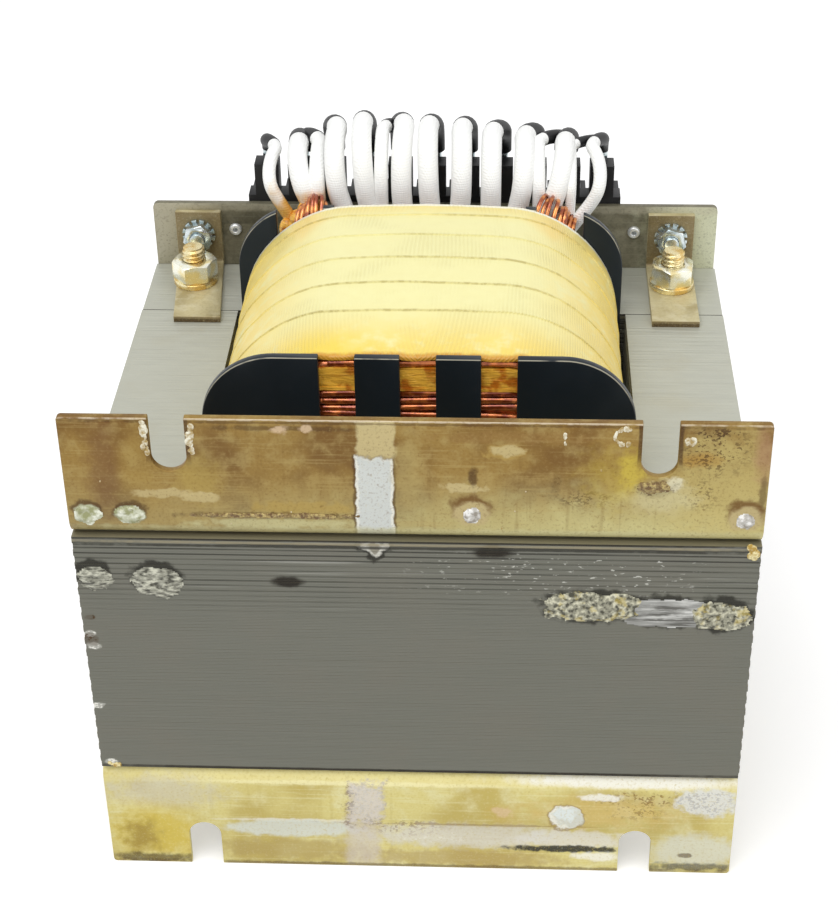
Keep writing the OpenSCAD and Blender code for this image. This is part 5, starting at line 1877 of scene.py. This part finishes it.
@dataclass
class TerminalRow(Assembly):
    """The terminal block on the plate's back, with its straps, screws, lugs and rivets.

    Attributes:
        count: the number of terminals.
    """

    count: int = 11

    def build(self) -> None:
        """Makes the block and what is fixed to it."""
        black = Moulding("block_moulding", (0.013, 0.013, 0.014), 0.36, 0.1)
        rounded("barrier_block", "terminal_block", 0.25, black, Slot.BLOCK)
        brass = Plating("strap_brass", (0.6, 0.42, 0.14), (0.5, 0.33, 0.1), 0.28)
        rounded("brass_straps", "terminal_straps", 0.12, brass, Slot.BRASS)
        rounded("binding_screws", "terminal_screws", 0.2, BRIGHT_ZINC, Slot.BRIGHT_ZINC)
        tin = Plating("rivet_tin", (0.9, 0.91, 0.9), (0.8, 0.82, 0.83), 0.3, 0.6)
        rounded("hollow_rivets", "block_rivets", 0.15, tin, Slot.RIVET)
        for i in range(1, self.count + 1):
            rounded(f"ring_lug_{i}", f"lug_{i}", 0.12, BRIGHT_ZINC, Slot.BRIGHT_ZINC)


class Station(float, Enum):
    """Places along a lead, counted from the coil."""

    BEND = 1.0
    RISE = 4.0
    ARCH = 7.0
    BOOT = 14.0
    SLEEVE_END = 14.2
    TERMINAL = 19.0


@dataclass(frozen=True)
class Route:
    """Where one lead runs across the part.

    Attributes:
        foot: where it leaves the coil.
        over: where the top of its arch is.
        last: where it comes down.
        rise: the arch's height.
        bow: how far it bows sideways on its way up.
        radius: its sleeve's radius.
        start: the station at which its sleeve starts.
    """

    foot: float
    over: float
    last: float
    rise: float
    bow: float
    radius: float
    start: float


def eased(share: float) -> float:
    """A smooth step from 0 to 1."""
    held = min(max(share, 0.0), 1.0)
    return held * held * (3.0 - 2.0 * held)


@dataclass
class TapLeads(Assembly):
    """The sleeved leads that rise from the coil, arch over the block and come down to its screws.

    Attributes:
        slots: the former's rear slot that each lead leaves by.
        places: where it lies across that slot.
        leans: how far the arch's top is beside its terminal.
        rises: the arch's height.
        bows: how far it bows sideways on its way up.
        centres: the middles of the rear slots.
        pitch: the distance between two terminals.
        bend: the radius of the bend behind the coil.
        start_y: where the leads leave the coil.
        rise_y: where they rise.
        fall_y: where they come down.
        exit_up: how high they leave, over the core.
        end_up: how high they come down to, over the core.
        thin: the leads with a thin sleeve.
        short: the leads whose sleeve starts higher, over bare strands.
        thick_r: a sleeve's radius.
        thin_r: a thin sleeve's radius.
        boot_gap: how much wider a boot is than its sleeve.
        seconds: the second leads that share a terminal.
        strand_r: the radius of a bare strand.
        arch_step: how far a lead turns from one station of its arch to the next, in degrees.
        aside_turn: the turn after the top in which it comes over to its terminal, in degrees.
        sides: the number of sides of a sleeve or boot.
        second_sides: the number of sides of a second sleeve or boot.
        top: the core's top, from the CAD.
    """

    slots: tuple[int, ...] = (0, 0, 1, 1, 2, 2, 2, 3, 3, 4, 4)
    places: tuple[float, ...] = (-2.5, 3.5, -3.2, 3.0, -7.2, 0.0, 7.2, -3.2, 3.2, -3.5, 3.0)
    leans: tuple[float, ...] = (3.5, 0.5, 2.0, -0.5, 1.7, -1.2, -1.5, -2.6, -3.1, -1.4, -3.3)
    rises: tuple[float, ...] = (6.0, 7.0, 12.0, 13.5, 13.0, 12.5, 11.8, 10.6, 9.6, 7.8, 7.4)
    bows: tuple[float, ...] = (-2.5, 0.0, -1.0, 0.0, -0.6, 0.0, 0.6, 0.0, 0.6, 0.0, 4.0)
    centres: tuple[float, ...] = (-35.1, -19.5, 0.0, 19.5, 35.1)
    pitch: float = 9.5
    bend: float = 8.0
    start_y: float = 28.55
    rise_y: float = 41.15
    fall_y: float = 69.45
    exit_up: float = 13.0
    end_up: float = 32.0
    thin: tuple[int, ...] = (1, 11)
    short: tuple[int, ...] = (2, 10)
    thick_r: float = 2.8
    thin_r: float = 1.8
    boot_gap: float = 0.15
    seconds: tuple[Route, ...] = (
        Route(-31.0, -31.5, -36.0, 8.0, 0.0, 2.2, 0.0), Route(-13.6, -13.8, -10.5, 12.0, 0.0, 1.9, 0.0),
        Route(29.6, 29.3, 36.0, 8.4, 0.0, 1.8, 0.0), Route(38.0, 38.4, 45.5, 7.0, 0.0, 1.4, 0.0))
    strand_r: float = 0.6
    arch_step: float = 15.0
    aside_turn: float = 50.0
    sides: int = 18
    second_sides: int = 16
    top: float = field(init=False)

    def __post_init__(self) -> None:
        """Takes the core's top from the CAD."""
        self.top = limits("e_laminations")[1].z

    def route(self, number: int) -> Route:
        """Finds the way of a lead.

        Args:
            number: its number, from 1.

        Returns:
            Where it runs.
        """
        i = number - 1
        last = (number - (len(self.slots) + 1) / 2) * self.pitch
        return Route(self.centres[self.slots[i]] + self.places[i], last + self.leans[i], last, self.rises[i],
                     self.bows[i], self.thin_r if number in self.thin else self.thick_r,
                     5.0 if number in self.short else 0.0)

    def point(self, route: Route, station: float) -> Vector:
        """A point of a lead's centre line.

        Args:
            route: where the lead runs.
            station: from 0 at the coil to the one at the terminal.

        Returns:
            The point.
        """
        exit_z, end_z = self.top + self.exit_up, self.top + self.end_up
        bend_length = Station.RISE - Station.BEND
        bent = math.radians(90.0 / bend_length * min(max(station - Station.BEND, 0.0), bend_length))
        rise = min(max((station - Station.RISE) / (Station.ARCH - Station.RISE), 0.0), 1.0)
        turn = self.arch_step * max(station - Station.ARCH, 0.0)
        up = (rise + min(turn, 90.0) / 90.0) / 2.0
        x = route.foot + (route.over - route.foot) * eased(up) + route.bow * math.sin(math.pi * up)
        if turn > 90.0:
            x = route.over + (route.last - route.over) * eased((turn - 90.0) / self.aside_turn)
        if station <= Station.BEND:
            return Vector((x, self.start_y + (self.rise_y - self.bend - self.start_y) * station, exit_z))
        if station <= Station.RISE:
            return Vector((x, self.rise_y - self.bend * (1 - math.sin(bent)),
                           exit_z + self.bend * (1 - math.cos(bent))))
        if station <= Station.ARCH:
            return Vector((x, self.rise_y, exit_z + self.bend + rise * (end_z - exit_z - self.bend)))
        middle, half = (self.rise_y + self.fall_y) / 2, (self.fall_y - self.rise_y) / 2
        angle = math.radians(turn)
        return Vector((x, middle - half * math.cos(angle), end_z + route.rise * math.sin(angle)))

    def path(self, route: Route, start: float, stop: float) -> list[Vector]:
        """A stretch of a lead's centre line."""
        count = int((stop - start) * 3)
        return [self.point(route, start + (stop - start) * i / count) for i in range(count + 1)]

    def sleeve(self, name: str, route: Route, finish: Finish, sides: int) -> Mesh:
        """A lead's sleeve, from the coil into the boot."""
        return swept(name, [self.path(route, route.start, Station.SLEEVE_END)], route.radius, finish, sides)

    def boot(self, name: str, route: Route, finish: Finish, sides: int) -> Mesh:
        """A lead's boot, from the end of the sleeve to the terminal."""
        radius = route.radius + self.boot_gap
        return swept(name, [self.path(route, Station.BOOT, Station.TERMINAL)], radius, finish, sides)

    def strand(self, start: float, over: float, stop: float, height: float) -> list[Vector]:
        """A bare strand from the coil's end over a hump into the mouth of a sleeve.

        Args:
            start: where it leaves the coil.
            over: where the hump is.
            stop: where it goes into the sleeve.
            height: the hump's height over the core.

        Returns:
            Its centre line.
        """
        knots = (Vector((start, self.start_y, self.top + self.exit_up + 4.0)),
                 Vector((start, self.start_y + 3.5, self.top + height + 1.0)),
                 Vector((over, self.rise_y - 3.5, self.top + height + 4.0)),
                 Vector((stop, self.rise_y, self.top + height - 4.0)))
        shares = [i / 24 for i in range(25)]
        return [knots[0] * (1 - t) ** 3 + knots[1] * (3 * t * (1 - t) ** 2) + knots[2] * (3 * t * t * (1 - t))
                + knots[3] * t ** 3 for t in shares]

    def build(self) -> None:
        """Makes the sleeves, boots and bare strands."""
        braid = Braid("white_braid", -28.0, self.top + 31.0)
        shrink = Moulding("shrink_tube", (0.01, 0.01, 0.011), 0.4, 0.05)
        copper = Enamel("clean_copper", (0.3, 0.055, 0.012), (0.78, 0.3, 0.07))
        for number in range(1, len(self.slots) + 1):
            route = self.route(number)
            sleeve = self.sleeve(f"sleeve_{number}", route, braid, self.sides)
            fitted(f"sleeve_{number}", sleeve, braid, Slot.SLEEVE, f"lead_{number}")
            boot = self.boot(f"shrink_{number}", route, shrink, self.sides)
            fitted(f"shrink_{number}", boot, shrink, Slot.BOOT, f"boot_{number}")
        sides = self.second_sides
        sleeves = joined(self.sleeve("second_sleeve", route, braid, sides) for route in self.seconds)
        fitted("second_sleeves", sleeves, braid, Slot.SLEEVE)
        boots = joined(self.boot("second_shrink", route, shrink, sides) for route in self.seconds)
        fitted("second_shrinks", boots, shrink, Slot.BOOT)
        amber = Film("amber_varnish")
        blob = [(-36.6, self.top + 24.6, 2.7), (-35.0, self.top + 26.6, 2.4), (-37.6, self.top + 22.2, 2.4),
                (-39.8, self.top + 21.4, 2.4), (-33.2, self.top + 27.8, 1.8)]
        fitted("amber_blob", drops(blob, self.rise_y - 1.6, amber, 1.0, 1.2), amber, Slot.FILM)
        for side, paths in self.tails().items():
            strands = swept(side + "_strands", paths, self.strand_r, copper, 8)
            fitted(side + "_strands", strands, copper, Slot.COPPER, side + "_tails")

    def tails(self) -> dict[str, list[list[Vector]]]:
        """Draws the bare strands at both sides.

        Returns:
            Their centre lines, by side.
        """
        rng = random.Random(4)
        left = [self.strand(-33.6 + 1.25 * i, -32.6 + 1.2 * i + rng.uniform(-0.8, 0.8), -32.4 + 0.3 * i,
                            33.4 - 0.8 * abs(i - 1) + rng.uniform(-1.0, 1.0)) for i in range(5)]
        left += [self.strand(-37.0 + 1.3 * i, -35.5 + 1.5 * i, -32.0, 29.6 + 0.7 * i) for i in range(3)]
        right = [self.strand(27.0 + 1.6 * i, 33.0 + 1.5 * i + rng.uniform(-0.8, 0.8), 31.2 + 0.4 * i,
                             33.6 - 0.9 * i + rng.uniform(-1.0, 1.0)) for i in range(6)]
        right += [self.strand(34.0 + 1.3 * i, 38.0 + 0.9 * i, 37.0 + 0.6 * i, 28.6 - 0.9 * i)
                  for i in range(4)]
        return {"left": left, "right": right}


@dataclass
class Studio:
    """A white floor, soft light and the camera of the photo.

    Attributes:
        location: the camera's place, in metres.
        turn: its rotation, in degrees.
        lens: its focal length.
        sky: how brightly the surroundings light the part.
        lamp: the key lamp's power.
        glow: how much of the floor's shadow is lifted for the camera.
    """

    location: tuple[float, float, float] = (0.02005, -0.45399, 0.38429)
    turn: tuple[float, float, float] = (56.284, 0.6844, 2.3477)
    lens: float = 80.145
    sky: float = 0.62
    lamp: float = 9.0
    glow: float = 0.4

    def seen(self, graph: Graph) -> Value:
        """Tells the rays apart.

        Args:
            graph: the tree that asks.

        Returns:
            1 for a ray that shows the surroundings and 0 for one that lights the part.
        """
        rays = graph.node("ShaderNodeLightPath").socket.node.outputs
        camera, glossy, through = (Value(graph, rays[f"Is {kind} Ray"])
                                   for kind in ("Camera", "Glossy", "Transmission"))
        return graph.math("MAXIMUM", graph.math("MAXIMUM", camera, glossy), through)

    def build(self) -> None:
        """Makes the floor, the surroundings, the lamps and the camera."""
        self.floor()
        self.surroundings()
        self.area("key", (-0.35, -0.55, 1.25), (0.0, 0.0, 0.07), 0.9, self.lamp)
        self.area("side", (0.9, -0.5, 0.7), (0.0, 0.0, 0.08), 0.6, self.lamp * 0.25)
        camera = placed("camera", bpy.data.cameras.new("camera"))
        camera.data.lens = self.lens
        camera.data.sensor_width = 36.0
        camera.location = self.location
        camera.rotation_euler = [math.radians(a) for a in self.turn]
        bpy.context.scene.camera = camera
        bpy.context.scene.view_settings.view_transform = "Standard"

    def floor(self) -> None:
        """Lays the floor, white to the camera but for its shadow."""
        mesh = bpy.data.meshes.new("floor")
        mesh.from_pydata([(-4, -4, 0), (4, -4, 0), (4, 4, 0), (-4, 4, 0)], [], [(0, 1, 2, 3)])
        skin = Skin("floor_white")
        matt = skin.node("ShaderNodeBsdfDiffuse", sockets={"Color": (0.8, 0.8, 0.8)})
        glow = skin.node("ShaderNodeEmission", sockets={"Color": (1.0, 1.0, 1.0), "Strength": self.glow})
        lit = skin.node("ShaderNodeAddShader", sockets={0: matt, 1: glow})
        skin.output(skin.node("ShaderNodeMixShader", sockets={0: self.seen(skin), 1: matt, 2: lit}))
        mesh.materials.append(skin.material)
        placed("floor", mesh)

    def surroundings(self) -> None:
        """Surrounds the part with white that lights it softly."""
        world = bpy.data.worlds.new("surroundings")
        world.use_nodes = True
        graph = Graph(world.node_tree)
        graph.tree.nodes.clear()
        level = self.sky + (1.0 - self.sky) * self.seen(graph)
        shader = graph.node("ShaderNodeBackground", sockets={"Color": (1.0, 1.0, 1.0), "Strength": level})
        graph.feed(graph.tree.nodes.new("ShaderNodeOutputWorld").inputs["Surface"], shader)
        bpy.context.scene.world = world

    def area(self, name: str, place: Sequence[float], aim: Sequence[float], size: float,
             power: float) -> None:
        """Hangs a square lamp.

        Args:
            name: its name.
            place: where it hangs, in metres.
            aim: the point it looks at.
            size: its side.
            power: its power.
        """
        lamp = bpy.data.lights.new(name, "AREA")
        lamp.size = size
        lamp.energy = power
        holder = placed(name, lamp)
        holder.location = place
        holder.rotation_euler = (Vector(aim) - Vector(place)).to_track_quat("-Z", "Y").to_euler()


@dataclass
class Transformer:
    """The whole part.

    Attributes:
        assemblies: its sub-assemblies, in the order of their making.
    """

    assemblies: list[Assembly] = field(default_factory=lambda: [
        LaminatedCore(), WallBrackets(), RearPlate(), CoreBolts(), WoundCoil(), TerminalRow(), TapLeads()])

    def build(self) -> None:
        """Builds each sub-assembly."""
        for assembly in self.assemblies:
            LOG.info("building %s", type(assembly).__name__)
            assembly.build()


def main() -> None:
    """Builds the part and the studio."""
    logging.basicConfig(level=logging.INFO, format="%(message)s")
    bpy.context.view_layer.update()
    Transformer().build()
    Studio().build()


if __name__ == "__main__":
    main()
